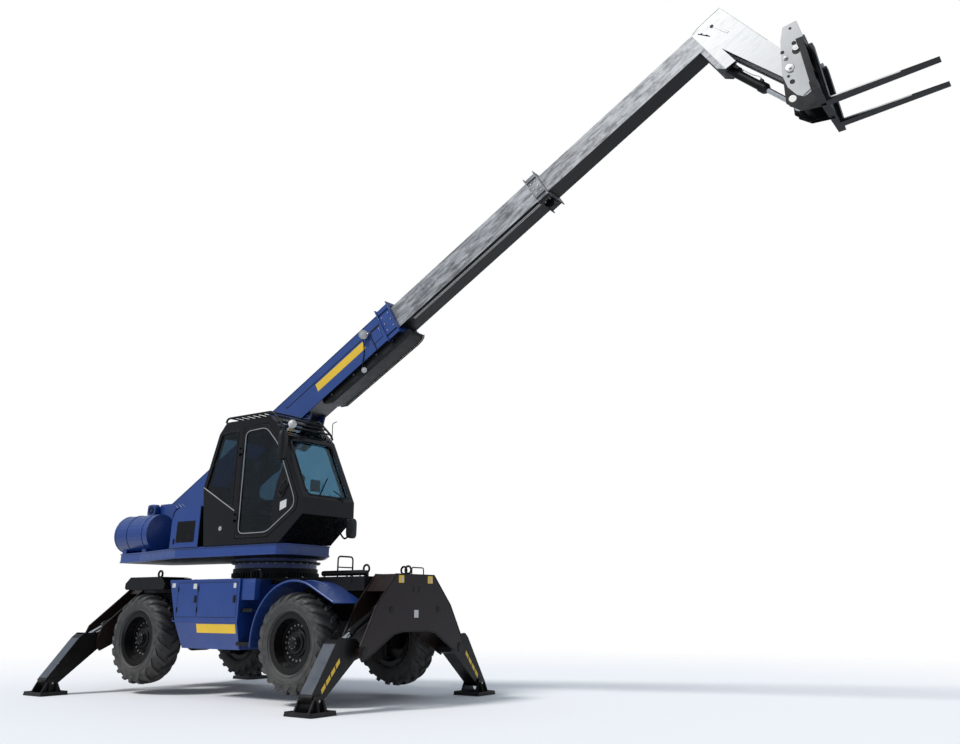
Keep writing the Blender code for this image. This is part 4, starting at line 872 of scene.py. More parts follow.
shell_near = mirror_head((1.30, -1.30, 3.13), 0.19, 0.40, 0.09, 0.35)
arm_near = bar([(1.10, -1.155, 3.35), (1.17, -1.24, 3.42), (1.28, -1.29, 3.42), (1.29, -1.30, 3.30)], 0.010,
               0.04,
               MACHINE, (0.3, 0.2, 1))
piece("near_mirror", merged(shell_near, arm_near), PLASTIC, "turret")
shell_far = mirror_head((1.72, -0.30, 2.10), 0.22, 0.26, 0.08, 0.2)
arm_far = bar([(1.42, -0.30, 2.14), (1.60, -0.30, 1.96), (1.70, -0.30, 2.02)], 0.012, 0.04, MACHINE)
piece("low_mirror", merged(shell_far, arm_far), PLASTIC, "turret")
lamp = turned([(0, 0), (0, 0.04), (0.01, 0.055), (0.05, 0.058), (0.075, 0.045), (0.085, 0.02), (0.086, 0)],
              placed((SLEW_X + 1.20, -1.08, 3.44), (0, 1, 0), (0.3, 0, -1), (1, 0, 0.3)), 24)
stem = bar([(1.13, -1.08, 3.36), (1.17, -1.08, 3.40), (1.20, -1.08, 3.43)], 0.008, 0.01, MACHINE)
piece("roof_lamp", merged(lamp, stem), WHITE, "turret")
wiper_foot = np.array((1.53, -0.62, 2.52))
blade = swept([wiper_foot + (0.05, -0.24, -0.10), wiper_foot + (-0.06, 0.05, 0.22)],
              [(-0.008, 0), (0.008, 0), (0, 0.03)],
              (1, 0, 0.5), MACHINE)
arm = hose([(1.60, -0.35, 2.44), (1.60, -0.42, 2.52), (1.56, -0.52, 2.58)], 0.008, MACHINE, 10)
piece("wiper", merged(blade, arm), PLASTIC, "turret")
aerial = bar([(1.12, -0.20, 3.36), (1.16, -0.17, 3.40), (1.16, -0.17, 3.60), (1.24, -0.17, 3.62)], 0.006,
             0.02,
             MACHINE)
piece("roof_bracket", aerial, BLACK, "turret")
print("roof dressed")

# %% [markdown]
# Inside, behind the dark glass, are a padded seat, armrests with joysticks, a steering wheel on a
# column, and a side console. The seat's cushions are crowned forms: their thickness swells in the
# middle and pulls in at the seams.

# %% Seat cushions and controls
def cushion(size, crown, place, channels=0):
    """A crowned pad: a superellipse outline whose height is (1 - |u|^4)(1 - |v|^4) with grooves."""
    u = np.linspace(-1, 1, 33)[:, None]
    v = np.linspace(-1, 1, 33)[None]
    body = ((1 - u ** 6) * (1 - v ** 6)) ** 0.33
    groove = 1 - 0.10 * np.exp(-((np.abs(u) - 0.62) / 0.04) ** 2) * (channels > 0)
    top = crown * body * groove * (1 + 0.12 * (1 - u ** 2) * (1 - v ** 2))
    flat = np.stack([size[0] / 2 * u + 0 * v, size[1] / 2 * v + 0 * u], -1)
    upper = np.concatenate([flat, (size[2] / 2 * 0.35 + top)[..., None]], -1)
    lower = np.concatenate([flat, (-size[2] / 2 * 0.35 - 0.5 * top)[..., None]], -1)
    index = np.arange(33 * 33).reshape(33, 33)
    edge = np.concatenate([index[0], index[1:, -1], index[-1, -2::-1], index[-2:0:-1, 0]])
    side = np.stack([edge, np.roll(edge, -1), np.roll(edge, -1) + 33 * 33, edge + 33 * 33], -1)
    a, quads = grid(upper)
    b, _ = grid(lower)
    return moved((np.concatenate([a, b]), [quads[0], quads[0] + 33 * 33, side]), place)


SEAT_X, SEAT_Y = SLEW_X + 0.19, -0.6375
base = cushion((0.50, 0.50, 0.12), 0.04, placed((SEAT_X, SEAT_Y, 2.315), (1, 0, 0), (0, 1, 0), (0, 0, 1)), 1)
lean = np.array((-0.16, 0, 0.987))
back = cushion((0.62, 0.46, 0.10), 0.04, placed((SLEW_X - 0.075, SEAT_Y, 2.68), lean, (0, -1, 0),
                                                (0.987, 0, 0.16)), 1)
head = cushion((0.17, 0.26, 0.08), 0.03, placed((SLEW_X - 0.125, SEAT_Y, 3.075), lean, (0, -1, 0),
                                                (0.987, 0, 0.16)))
pads = piece("seat_cushions", merged(base, back, head), VINYL, "turret", sharp=60)
pillar = block((-0.05, 0.42), (SEAT_Y - 0.19, SEAT_Y + 0.19), (1.951, 2.22), MACHINE)
bellows = merged(*[block((0.0 - 0.012 * (k % 2), 0.37 + 0.012 * (k % 2)), (SEAT_Y - 0.20, SEAT_Y + 0.20),
                         (2.21 + 0.014 * k, 2.222 + 0.014 * k), MACHINE) for k in range(4)])
seat_base = piece("seat_base", merged(pillar, bellows), PLASTIC, "turret", 0.006)
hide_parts("seat")
arms = merged(*[block((0.0, 0.34), (SEAT_Y + s * 0.30 - 0.04, SEAT_Y + s * 0.30 + 0.04), (2.50, 2.56),
                      MACHINE)
                for s in (-1, 1)],
              *[block((0.02, 0.10), (SEAT_Y + s * 0.30 - 0.025, SEAT_Y + s * 0.30 + 0.025), (2.20, 2.51),
                      MACHINE)
                for s in (-1, 1)])
piece("armrests", arms, PLASTIC, "turret", 0.012)
stick = turned([(0, 0), (0, 0.035), (0.02, 0.028), (0.04, 0.012), (0.13, 0.012), (0.15, 0.022), (0.21, 0.026),
                (0.24, 0.018), (0.245, 0)], steps=20)
sticks = copies(stick, [placed((SLEW_X + 0.28, SEAT_Y + s * 0.30, 2.555), (1, 0, 0), (0, 1, 0), (0, 0, 1))
                        for s in (-1, 1)])
piece("joysticks", sticks, BLACK, "turret")
column_top = np.array((SLEW_X + 0.86, SEAT_Y, 2.72))
tilt = placed(column_top, (0.80, 0, 0.60), (0, 1, 0), (-0.60, 0, 0.80))
wheel = turned(circle(0.014, 10) + (0, 0.185), tilt, 48, True)
spokes = merged(*[swept([(0.03 * math.cos(a), 0.03 * math.sin(a), -0.02),
                         (0.18 * math.cos(a), 0.18 * math.sin(a), 0)],
                        circle(0.011, 8), (0, 0, 1), tilt) for a in (0.5, 2.6, 4.7)])
hub = turned([(-0.05, 0), (-0.05, 0.045), (0.0, 0.05), (0.012, 0.04), (0.014, 0)], tilt, 24)
post = bar([(1.10, SEAT_Y, 1.97), (1.04, SEAT_Y, 2.30), (0.885, SEAT_Y, 2.69)], 0.04, 0.2, MACHINE)
piece("steering_wheel", merged(wheel, spokes, hub, post), PLASTIC, "turret")
console = slab(softened([(0.50, 1.955), (1.12, 1.955), (1.38, 2.20), (1.30, 2.40), (0.95, 2.46),
                         (0.52, 2.40)], 0.08),
               -0.30, -0.185, MACHINE)
screen_box = block((1.02, 1.06), (-0.44, -0.26), (2.62, 2.78), MACHINE)
piece("side_console", merged(console, screen_box), PLASTIC, "turret", 0.01)
levers = [placed((SLEW_X + x, -0.25, 2.44), (1, 0, 0), (0, 1, 0), (0, 0, 1)) for x in (0.62, 0.70, 0.78)]
piece("console_levers", copies(stick, levers), TRIM, "turret")
lining = slab(grown([(-0.25, 1.96), (-0.36, 2.66), (0.17, 2.38), (0.9, 2.17), (1.35, 2.30), (1.40, 2.20),
                     (1.16, 1.97)], -0.01), -0.181, -0.176, MACHINE)
piece("cab_lining", lining, PLASTIC, "turret")
print("cab fitted out")

# %% [markdown]
# ## Boom
# The outer section carries a raised upper panel with a dark joint below it, a blank yellow name
# band, a work lamp and a hose guard underneath. Each section ends in a collar: two flanges with
# ribs between them and the bolts that hold the wear pads.

# %% Outer section: panel joint, band, guard, lamp
def both_sides(*spans):
    """Blocks on both sides of the boom, from (along, distance out, above) spans."""
    made = [block(s, (sign * y[0], sign * y[1]), n, BOOM) for s, y, n in spans for sign in (-1, 1)]
    return merged(*made)


SIDE_1 = 0.21
piece("panel_joint", both_sides(((3.05, 5.20), (SIDE_1 - 0.002, SIDE_1 + 0.003), (0.086, 0.098)),
                                ((3.05, 3.062), (SIDE_1 - 0.002, SIDE_1 + 0.003), (0.086, 0.125))),
      PLASTIC, "boom_outer")
piece("blank_name_band", both_sides(((3.72, 4.80), (SIDE_1 - 0.002, SIDE_1 + 0.0015), (-0.075, 0.055))),
      YELLOW, "boom_outer")
piece("side_hatch", both_sides(((4.98, 5.16), (SIDE_1 - 0.002, SIDE_1 + 0.008), (-0.13, 0.06))),
      BOOM_BLUE, "boom_outer", 0.004)
piece("hatch_edge", both_sides(((4.965, 4.98), (SIDE_1 - 0.002, SIDE_1 + 0.012), (-0.24, 0.075)),
                               ((4.965, 5.17), (SIDE_1 - 0.002, SIDE_1 + 0.010), (0.062, 0.075))),
      PLASTIC, "boom_outer")
edge_n = 0.236
welds = merged(*[swept([(s, sign * SIDE_1, n) for s in (-0.38, 2.0, 5.2)], circle(0.007, 6), (0, 1, 0.3),
                       BOOM)
                 for sign in (-1, 1) for n in (-edge_n, edge_n)])
piece("outer_edge_welds", welds, BOOM_BLUE, "boom_outer")

guard = [(3.70, -0.236), (3.70, -0.28), (3.86, -0.375), (5.44, -0.405), (5.52, -0.395), (5.57, -0.375),
         (5.59, -0.345),
         (5.575, -0.315), (5.53, -0.300), (5.45, -0.290), (5.20, -0.236)]
piece("hose_guard", slab(guard, -0.165, 0.165, BOOM), BLACK, "boom_outer", 0.006)
lip = [(3.76, -0.32), (3.87, -0.382), (5.44, -0.412), (5.53, -0.402), (5.577, -0.38), (5.598, -0.345)]
lips = merged(*[swept([(s, y, n) for s, n in lip], circle(0.009, 8), (0, 1, 0), BOOM) for y in (-0.168,
                                                                                                0.168)])
piece("guard_edge", lips, PLASTIC, "boom_outer")
slots = both_sides(*[((s, s + 0.16), (0.164, 0.167), (-0.36, -0.32)) for s in (3.95, 4.30, 4.65, 5.00)])
piece("guard_slots", slots, PLASTIC, "boom_outer")
guard_bolts = merged(*[bolts(np.array([PIVOT + ALONG * s + ACROSS * sign * 0.167 + ABOVE * -0.265
                                       for s in (3.90, 4.40, 4.90, 5.25)]), sign * ACROSS, 0.012)
                       for sign in (-1, 1)])
piece("guard_bolts", guard_bolts, STEEL, "boom_outer")

LAMP = turned([(-0.05, 0), (-0.05, 0.030), (-0.03, 0.055), (0.015, 0.068), (0.022, 0.070), (0.024, 0.062),
               (0.020, 0.056), (0.028, 0.03), (0.030, 0)], steps=28)


def work_lamp(name, where, towards, body, size=1.0):
    """A round lamp; its front looks one way."""
    way = np.array(towards, float) / np.linalg.norm(towards)
    side = np.cross((0, 0, 1.0), way)
    side /= np.linalg.norm(side)
    spot = placed(where, side * size, np.cross(way, side) * size, way * size)
    piece(name, moved(LAMP, spot), WHITE, body, 0, 30)


lamp_at = PIVOT + ALONG * 4.90 + ACROSS * -0.285 + ABOVE * 0.09
work_lamp("boom_lamp", lamp_at, (0.75, -0.62, -0.10), "boom_outer")
stalk = bar([PIVOT + ALONG * 4.99 + ACROSS * -0.205 + ABOVE * 0.06,
             PIVOT + ALONG * 4.99 + ACROSS * -0.27 + ABOVE * 0.06,
             lamp_at + (0.0, 0.02, -0.05)], 0.009, 0.03, lift=(0, 0, 1))
piece("boom_lamp_bracket", stalk, STEEL, "boom_outer")
low_lamp = PIVOT + ALONG * 4.62 + ACROSS * -0.195 + ABOVE * -0.35
work_lamp("guard_lamp", low_lamp, (0.5, -0.8, -0.3), "boom_outer", 0.6)
lamp_lead = hose([lamp_at + (-0.03, 0.03, 0.01), PIVOT + ALONG * 4.80 + ACROSS * -0.222 + ABOVE * -0.02,
                  PIVOT + ALONG * 4.74 + ACROSS * -0.220 + ABOVE * -0.14,
                  PIVOT + ALONG * 4.66 + ACROSS * -0.218 + ABOVE * -0.24,
                  PIVOT + ALONG * 4.60 + ACROSS * -0.19 + ABOVE * -0.31], 0.007)
piece("lamp_pipe", lamp_lead, PLASTIC, "boom_outer")
top_lug = slab([(4.78, 0.238), (4.84, 0.30), (4.94, 0.30), (5.00, 0.238)], -0.06, 0.06, BOOM)
piece("boom_top_lug", top_lug, BOOM_BLUE, "boom_outer", 0.006)
print("outer section dressed")

# %% Collars, their flanges, ribs and pad bolts
def collar_trim(name, start, end, wide, high, finish, body):
    """Two flanges round a collar, ribs between them and bolts on the sides and the top."""
    half_w, half_h = wide / 2, high / 2
    cross = [(-half_w, -half_h), (half_w, -half_h), (half_w, half_h), (-half_w, half_h)]
    face = BOOM @ placed((0, 0, 0), (0, 1, 0), (1, 0, 0), (0, 0, 1))
    flanges = [rim_of(cross, 0.028, s, s + 0.014, face) for s in (start, end - 0.014)]
    ribs = [block((start, end), (sign * (half_w - 0.002), sign * (half_w + 0.018)), (n - 0.006, n + 0.006),
                  BOOM)
            for sign in (-1, 1) for n in (-0.35 * high, 0.35 * high)]
    ribs += [block((start, end), (y - 0.006, y + 0.006), (sign * (half_h - 0.002), sign * (half_h + 0.018)),
                   BOOM)
             for sign in (-1, 1) for y in (-0.3 * wide, 0.3 * wide)]
    piece(name + "_flanges", merged(*flanges, *ribs), finish, body, 0.002)
    heads = []
    for sign in (-1, 1):
        spots = [PIVOT + ALONG * s + ACROSS * sign * half_w + ABOVE * n
                 for s in (start + 0.06, end - 0.06) for n in (-0.22 * high, 0, 0.22 * high)]
        heads.append(bolts(spots, sign * ACROSS, 0.013))
        spots = [PIVOT + ALONG * s + ACROSS * y + ABOVE * sign * half_h
                 for s in (start + 0.06, end - 0.06) for y in (-0.2 * wide, 0.2 * wide)]
        heads.append(bolts(spots, sign * ABOVE, 0.013))
    piece(name + "_bolts", merged(*heads), STEEL, body)


collar_trim("collar_1", 5.23, 5.48, 0.47, 0.54, BOOM_BLUE, "boom_outer")
collar_trim("collar_2", 8.30, 8.50, 0.42, 0.42, SILVER, "boom_middle")
under = merged(*[hose([PIVOT + ALONG * s + ACROSS * y + ABOVE * n for s, n in
                       ((5.25, -0.30), (5.40, -0.34), (5.52, -0.315), (5.56, -0.30), (5.50, -0.31))], 0.013,
                      count=24) for y in (-0.10, -0.06, 0.06, 0.10)])
piece("collar_pipes", under, PLASTIC, "boom_outer")
stop = slab([(8.32, -0.208), (8.36, -0.30), (8.42, -0.31), (8.49, -0.208)], -0.03, 0.03, BOOM)
piece("collar_2_stop", stop, BLACK, "boom_middle", 0.004)
pipe_run = merged(*[swept([(s, y, -0.200) for s in (5.72, 7.0, 8.29)], circle(0.009, 8), (0, 1, 0), BOOM)
                    for y in (-0.13, -0.10)])
piece("middle_section_pipes", pipe_run, STEEL, "boom_middle")
print("collars dressed")

# %% [markdown]
# ## Head, carriage and forks
# The boom's last section ends in a white gooseneck with narrow slots and a folded bracket. The
# carriage hangs on it between two stepped white plates with large bolts, and the fork frame
# behind the tines is made of black tubes. The tines' tops are worn bright, and bright bands at the
# top of their sides are painted highlight for the sunlit side faces.

# %% The head's slots, edge welds and pin
HEAD_SIDE = 0.155
head_dark = merged(*[slab(outline, sign * (HEAD_SIDE - 0.002), sign * (HEAD_SIDE + 0.002),
                          BOOM) for sign in (-1, 1)
                     for outline in ([(11.40, 0.105), (11.415, 0.11), (11.50, -0.055), (11.485, -0.06)],
                                     [(11.425, 0.07), (11.445, 0.082), (11.455, 0.06), (11.435, 0.048)],
                                     [(11.455, 0.0), (11.475, 0.012), (11.49, -0.02), (11.47, -0.032)])])
piece("head_slots", head_dark, PLASTIC, "boom_inner")
fold = [(11.60, 0.02), (11.63, 0.03), (11.70, -0.20), (11.67, -0.21)]
brackets = merged(*[slab(fold, sign * (HEAD_SIDE - 0.002), sign * (HEAD_SIDE + 0.004), BOOM) for sign in (-1,
                                                                                                          1)])
piece("head_bracket", brackets, SILVER_HEAD, "boom_inner", 0.002)
eyelets = merged(*[moved(turned([(-0.01, 0), (-0.01, 0.026), (0.003, 0.026), (0.003, 0)], steps=18),
                         BOOM @ placed((11.60, sign * HEAD_SIDE, 0.045), (1, 0, 0), (0, 0, -sign),
                                       (0, sign, 0)))
                   for sign in (-1, 1)])
piece("head_eyelets", eyelets, PLASTIC, "boom_inner")
spine = [(11.35, 0.16), (11.45, 0.187), (11.84, 0.187), (11.935, -0.70)]
welds = merged(*[swept([(s, sign * (HEAD_SIDE - 0.001), n) for s, n in spine], circle(0.006, 6), (0, 1, 0),
                       BOOM)
                 for sign in (-1, 1)])
piece("head_edge_welds", welds, SILVER_HEAD, "boom_inner")
belly = [(11.36, -0.1595), (11.44, -0.166), (11.736, -1.300), (11.797, -1.403), (11.805, -1.396),
         (11.745, -1.295),
         (11.452, -0.160)]
piece("head_underside", merged(*[slab(belly, low, low + 0.064, BOOM) for low in (-0.154, 0.09)]), BLACK,
      "boom_inner")
print("head dressed")

# %% Carriage plates, pins, bolts and tubes
CHEEK = 0.155 + 0.006
plate_outline = [(-0.113, -0.06), (-0.023, 0.42), (0.047, 0.603), (0.223, 0.623), (0.273, 0.10),
                 (0.250, -0.36),
                 (0.03, -0.47), (-0.09, -0.24)]
over_outline = [(0.02, 0.33), (0.185, 0.375), (0.262, 0.05), (0.245, -0.33), (0.055, -0.43), (0.03, -0.10)]


def disc(out, up, sign, radius, low, high, sides=24):
    """A round boss on the carriage's side."""
    spot = CARRIAGE @ placed((out, 0, up), (1, 0, 0), (0, 0, -sign), (0, sign, 0))
    return moved(turned([(low, 0), (low, radius), (high - 0.003, radius), (high, radius * 0.92), (high, 0)],
                        steps=sides), spot)


for side, sign in SIDES:
    name = "carriage_plate_" + side
    inner = slab(plate_outline, sign * (CHEEK + 0.0005), sign * (CHEEK + 0.036), CARRIAGE)
    outer = slab(over_outline, sign * (CHEEK + 0.034), sign * (CHEEK + 0.047), CARRIAGE)
    piece(name, merged(inner, outer), WHITE, "carriage", 0.003)
    washers = merged(disc(0.0, 0.0, sign, 0.058, CHEEK + 0.03, CHEEK + 0.050), disc(0.13, 0.24, sign, 0.042,
                     CHEEK + 0.04, CHEEK + 0.060),
                     disc(-0.07, -0.42, sign, 0.050, CHEEK + 0.02, CHEEK + 0.045),
                     disc(-0.02, 0.16, sign, 0.030, CHEEK + 0.03, CHEEK + 0.050))
    piece(name + "_pins", washers, STEEL, "carriage", 0.002)
    holes = merged(disc(0.13, 0.545, sign, 0.020, CHEEK + 0.03, CHEEK + 0.0375),
                   disc(0.125, 0.315, sign, 0.030,
                   CHEEK + 0.04, CHEEK + 0.049),
                   disc(-0.035, 0.255, sign, 0.026, CHEEK + 0.03, CHEEK + 0.0375),
                   disc(-0.045, -0.10, sign, 0.020, CHEEK + 0.03, CHEEK + 0.0375),
                   disc(-0.02, -0.19, sign, 0.034,
                   CHEEK + 0.03, CHEEK + 0.0375),
                   disc(0.125, 0.20, sign, 0.052, CHEEK + 0.04, CHEEK + 0.0485))
    piece(name + "_holes", holes, PLASTIC, "carriage")
    spots = [CARRIAGE[:3, :3] @ np.array([o, sign * (CHEEK + 0.05), u]) + HEEL
             for o, u in ((0.0, 0.0), (0.13, 0.24), (-0.02, 0.16))]
    piece(name + "_bolts", bolts(spots, sign * ACROSS, 0.018), STEEL, "carriage")
    link = [(-0.13, -0.50), (-0.12, -0.38), (-0.05, -0.36), (0.06, -0.44), (0.27, -0.40), (0.27, -0.66),
            (0.0, -0.62)]
    piece("carriage_cheek_" + side, slab(link, sign * (CHEEK + 0.0265), sign * (CHEEK + 0.040), CARRIAGE),
          BLACK,
          "carriage", 0.003)
tubes = merged(*[bar([(0.235, y, -0.60), (0.235, y, 0.04)], 0.022, place=CARRIAGE) for y in (-0.46, -0.36,
                                                                                             0.36, 0.46)])
cross = merged(*[bar([(0.235, -0.59, u), (0.235, 0.59, u)], 0.020, place=CARRIAGE, lift=(1, 0, 0))
                 for u in (-0.18, -0.40)])
piece("fork_frame_tubes", merged(tubes, cross), BLACK, "carriage")
hooks = merged(*[block((0.17, 0.33), (y - 0.035, y + 0.035), (0.085, 0.118), CARRIAGE) for y in (-0.19,
                                                                                                 0.19)])
piece("fork_rail_stops", hooks, WHITE, "carriage", 0.004)
teeth = merged(*[block((0.262, 0.298), (y - 0.006, y + 0.006), (0.098, 0.108), CARRIAGE)
                 for y in np.arange(-0.57, 0.58, 0.06)])
piece("fork_rail_notches", teeth, BLACK, "carriage")
print("carriage dressed")

# %% Fork tines: bright tops and pins
FORK_TOP_Z = -0.66
for side, sign in SIDES:
    middle = sign * 0.63 / 2
    strips = [block((0.36, 1.16), (middle - 0.058, middle + 0.058), (FORK_TOP_Z - 0.001, FORK_TOP_Z + 0.0015),
                    CARRIAGE)]
    # Painted highlight: these bright bands on the sides stand for the sunlit side faces of the black tines; the
    # strip on top is wear.
    strips += [block((0.36, 1.12), (middle + edge * 0.058, middle + edge * 0.0615),
                     (FORK_TOP_Z - 0.016, FORK_TOP_Z), CARRIAGE)
               for edge in (-1, 1)]
    piece("fork_wear_" + side, merged(*strips), STEEL, "carriage")
    pin = turned([(0.10, 0), (0.10, 0.014), (0.145, 0.014), (0.15, 0.01), (0.15, 0)], CARRIAGE @ placed(
        (0.325, middle, 0), (1, 0, 0), (0, 1, 0), (0, 0, 1)), 14)
    piece("fork_pin_" + side, pin, STEEL, "carriage")
print("forks dressed")

# %% [markdown]
# ## Cylinders
# Every cylinder's barrel ends in a gland with a wiper; the lift and tilt barrels also carry two oil
# ports joined by a rigid pipe. The swinging bodies have their own directions, so the place of each
# gland comes from its joint's axis.

# %% Glands, ports and rigid pipes
def barrel_trim(name, body, start, way, reach, radius, rod_r, port_side):
    """A gland at the end of a barrel, two ports and the pipe between them."""
    way = np.array(way, float) / np.linalg.norm(way)
    side = np.array(port_side, float)
    side = side - way * (side @ way)
    side /= np.linalg.norm(side)
    place = placed(np.array(start), side, np.cross(way, side), way)
    gland = turned([(reach - 0.10, radius - 0.004), (reach - 0.10, radius + 0.012),
                    (reach - 0.02, radius + 0.012),
                    (reach - 0.012, radius + 0.005), (reach + 0.012, radius * 0.85),
                    (reach + 0.016, rod_r + 0.001),
                    (reach - 0.02, rod_r + 0.001), (reach - 0.02, radius - 0.004)], place, 32, True)
    ports = merged(*[block((radius - 0.01, radius + 0.03), (-0.02, 0.02), (h - 0.022, h + 0.022), place)
                     for h in (reach - 0.14, 0.16)])
    pipe = bar([(radius + 0.02, 0, reach - 0.14), (radius + 0.045, 0, reach - 0.20),
                (radius + 0.02, 0, reach - 0.30),
                (radius + 0.02, 0, 0.16)], 0.007, 0.03, place, (0, 1, 0))
    piece(name + "_gland", merged(gland, ports), BLACK, body, 0.002)
    piece(name + "_pipe", pipe, STEEL, body)


lift_start = np.array(joints["lift_swing"]["pos_m"])
lift_way = np.array(joints["lift_slide"]["axis"])
barrel_trim("lift", "lift_barrel", lift_start, lift_way, 2.24, 0.085, 0.05, (0.3, 0, 1))
tilt_start = np.array(joints["tilt_swing"]["pos_m"])
tilt_way = np.array(joints["tilt_slide"]["axis"])
barrel_trim("tilt", "tilt_barrel", tilt_start, tilt_way, 0.66, 0.06, 0.035, (1, 0, 0.3))
for tag in HUBS:
    leg_start = np.array(joints["leg_cylinder_" + tag]["pos_m"])
    leg_way = np.array(joints["leg_rod_" + tag]["axis"])
    gland = turned([(0.53, 0.046), (0.53, 0.058), (0.58, 0.058), (0.600, 0.045), (0.600, 0.031),
                    (0.53, 0.031)],
                   placed(leg_start, (1, 0, 0), np.cross(leg_way, (1, 0, 0)), leg_way), 24, True)
    piece("leg_gland_" + tag, gland, BLACK, "leg_barrel_" + tag)
pivot_caps = merged(*[moved(turned([(0, 0.0), (0, 0.125), (0.012, 0.125), (0.016, 0.118), (0.016, 0)],
                                   steps=36),
                            placed(PIVOT + ACROSS * sign * 0.262, (1, 0, 0), (0, 0, -sign), (0, sign, 0)))
                      for sign in (-1, 1)])
piece("pivot_caps", pivot_caps, BLUE, "turret", 0.002)
caps = merged(*[bolts(ring_points(PIVOT + ACROSS * sign * 0.277, sign * ACROSS, 0.09, 8), sign * ACROSS,
                      0.012)
                for sign in (-1, 1)])
piece("pivot_cap_bolts", caps, STEEL, "turret")
print("cylinders dressed")

# %% [markdown]
# ## Upper frame
# The engine stands under a rounded hood with a fine dark grille. Behind it are a cooling fan in a
# yellow surround, a domed tank held by two straps, and the tower plates that carry the
# boom. The deck under them has folded lips, and a ring of bolts holds it to the slewing ring.

# %% Engine hood and its grille
HOOD_X, HOOD_Z = (-1.06, -0.45), (1.8953, 2.46)
HOOD_Y = (-1.15, -0.16)
low_z = HOOD_Z[0]
sweep = rounded([(HOOD_X[0], low_z), (HOOD_X[0], HOOD_Z[1]), (HOOD_X[1], HOOD_Z[1]), (HOOD_X[1], low_z)],
                0.17, 8)
sweep[:, 0] = np.clip(sweep[:, 0], *HOOD_X)
roof_line = np.concatenate([sweep[sweep[:, 0] < HOOD_X[1] - 0.18], [(HOOD_X[1], HOOD_Z[1])]])
inside_line = roof_line + (0.022, -0.022)
inside_line[0, 1], inside_line[-1, 0] = low_z, HOOD_X[1]
arch_line = np.concatenate([roof_line, inside_line[::-1]])
hood_line = np.concatenate([roof_line, [(HOOD_X[1], low_z)]])
hood = merged(slab(arch_line, *HOOD_Y, MACHINE), slab(hood_line, HOOD_Y[0], HOOD_Y[0] + 0.022, MACHINE),
              slab(hood_line, HOOD_Y[1] - 0.022, HOOD_Y[1], MACHINE))
hood_piece = piece("engine_hood", hood, BLUE, "engine_cover", 0.010)
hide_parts("engine_cover")
GRILLE_X, GRILLE_Z = (-0.93, -0.53), (1.965, 2.255)
near_y = HOOD_Y[0]
backing = slab(softened([(GRILLE_X[0], GRILLE_Z[0]), (GRILLE_X[0], GRILLE_Z[1]), (GRILLE_X[1], GRILLE_Z[1]),
                         (GRILLE_X[1], GRILLE_Z[0])]), near_y - 0.0015, near_y + 0.002, MACHINE)
piece("hood_grille_back", backing, PLASTIC, "engine_cover")
mesh_bars = merged(*[block((x - 0.0025, x + 0.0025), (near_y - 0.004, near_y), GRILLE_Z, MACHINE)
                     for x in np.linspace(GRILLE_X[0] + 0.012, GRILLE_X[1] - 0.012, 24)],
                   *[block(GRILLE_X, (near_y - 0.005, near_y), (z - 0.0025, z + 0.0025), MACHINE)
                     for z in np.linspace(GRILLE_Z[0] + 0.012, GRILLE_Z[1] - 0.012, 18)])
piece("hood_grille", mesh_bars, BLACK, "engine_cover")
catch = block((-0.99, -0.96), (near_y - 0.012, near_y), (1.95, 2.02), MACHINE)
piece("hood_catch", catch, PLASTIC, "engine_cover", 0.003)
print("hood", len(hood[0]), "points")

# %% Fan, tank fittings, tower and deck
fan_y = -0.62
surround = rim_of([(-1.62, 1.95), (-1.62, 2.37), (-1.20, 2.37), (-1.20, 1.95)], 0.03, fan_y - 0.02, fan_y,
                  MACHINE)
plate = slab([(-1.62, 1.95), (-1.62, 2.37), (-1.20, 2.37), (-1.20, 1.95)], fan_y, fan_y + 0.006, MACHINE)
piece("fan_surround", merged(surround, plate), YELLOW, "turret", 0.003)
fan_axis = MACHINE @ placed((-1.41, fan_y, 2.16), (1, 0, 0), (0, 0, 1), (0, -1, 0))
shroud = turned([(0, 0), (0, 0.188), (0.012, 0.188), (0.012, 0.17), (0.006, 0.165), (0.006, 0)], fan_axis, 40)
piece("fan_shroud", shroud, PLASTIC, "turret")
turns = np.linspace(0, 2 * np.pi, 7, endpoint=False)
blade = slab([(0.035, 0), (0.15, 0), (0.155, 0.012), (0.035, 0.012)], -0.03, 0.03)
blades = copies(blade, [fan_axis @ placed((0, 0, 0.012), (np.cos(t), np.sin(t), 0),
                                          (-np.sin(t), np.cos(t), 0.3),
                                          (0, 0, 1)) for t in turns])
hub = turned([(0.008, 0), (0.008, 0.04), (0.028, 0.036), (0.03, 0)], fan_axis, 24)
piece("fan_blades", merged(blades, hub), BLACK, "turret")
cooler = block((-1.66, -1.16), (fan_y + 0.006, fan_y + 0.16), (1.9, 2.40), MACHINE)
piece("cooler_core", cooler, IRON, "turret", 0.006)

tank_low, tank_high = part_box("rear_tank")
TANK_R = 0.285
tank_y, tank_z = (tank_low.y + tank_high.y) / 2, tank_high.z - TANK_R
tank_axis = placed((tank_low.x, tank_y, tank_z), (0, 1, 0), (0, 0, -1), (-1, 0, 0))
cap = turned([(-0.03, 0), (-0.03, 0.052), (-0.006, 0.052), (-0.002, 0.046), (-0.002, 0.02), (-0.001, 0)],
             tank_axis, 24)
piece("tank_centre_fitting", cap, BLUE, "turret", 0.002)
straps = merged(*[turned([(-s, TANK_R - 0.002), (-s, TANK_R + 0.006), (-s - 0.035, TANK_R + 0.006),
                          (-s - 0.035, TANK_R - 0.002)], tank_axis, 48, True) for s in (0.42, 0.80)])
piece("tank_straps", straps, BLUE, "turret", 0.001)
seam = turned(circle(0.005, 8) + (-0.165, TANK_R), tank_axis, 48, True)
piece("tank_seam", seam, BLUE, "turret")

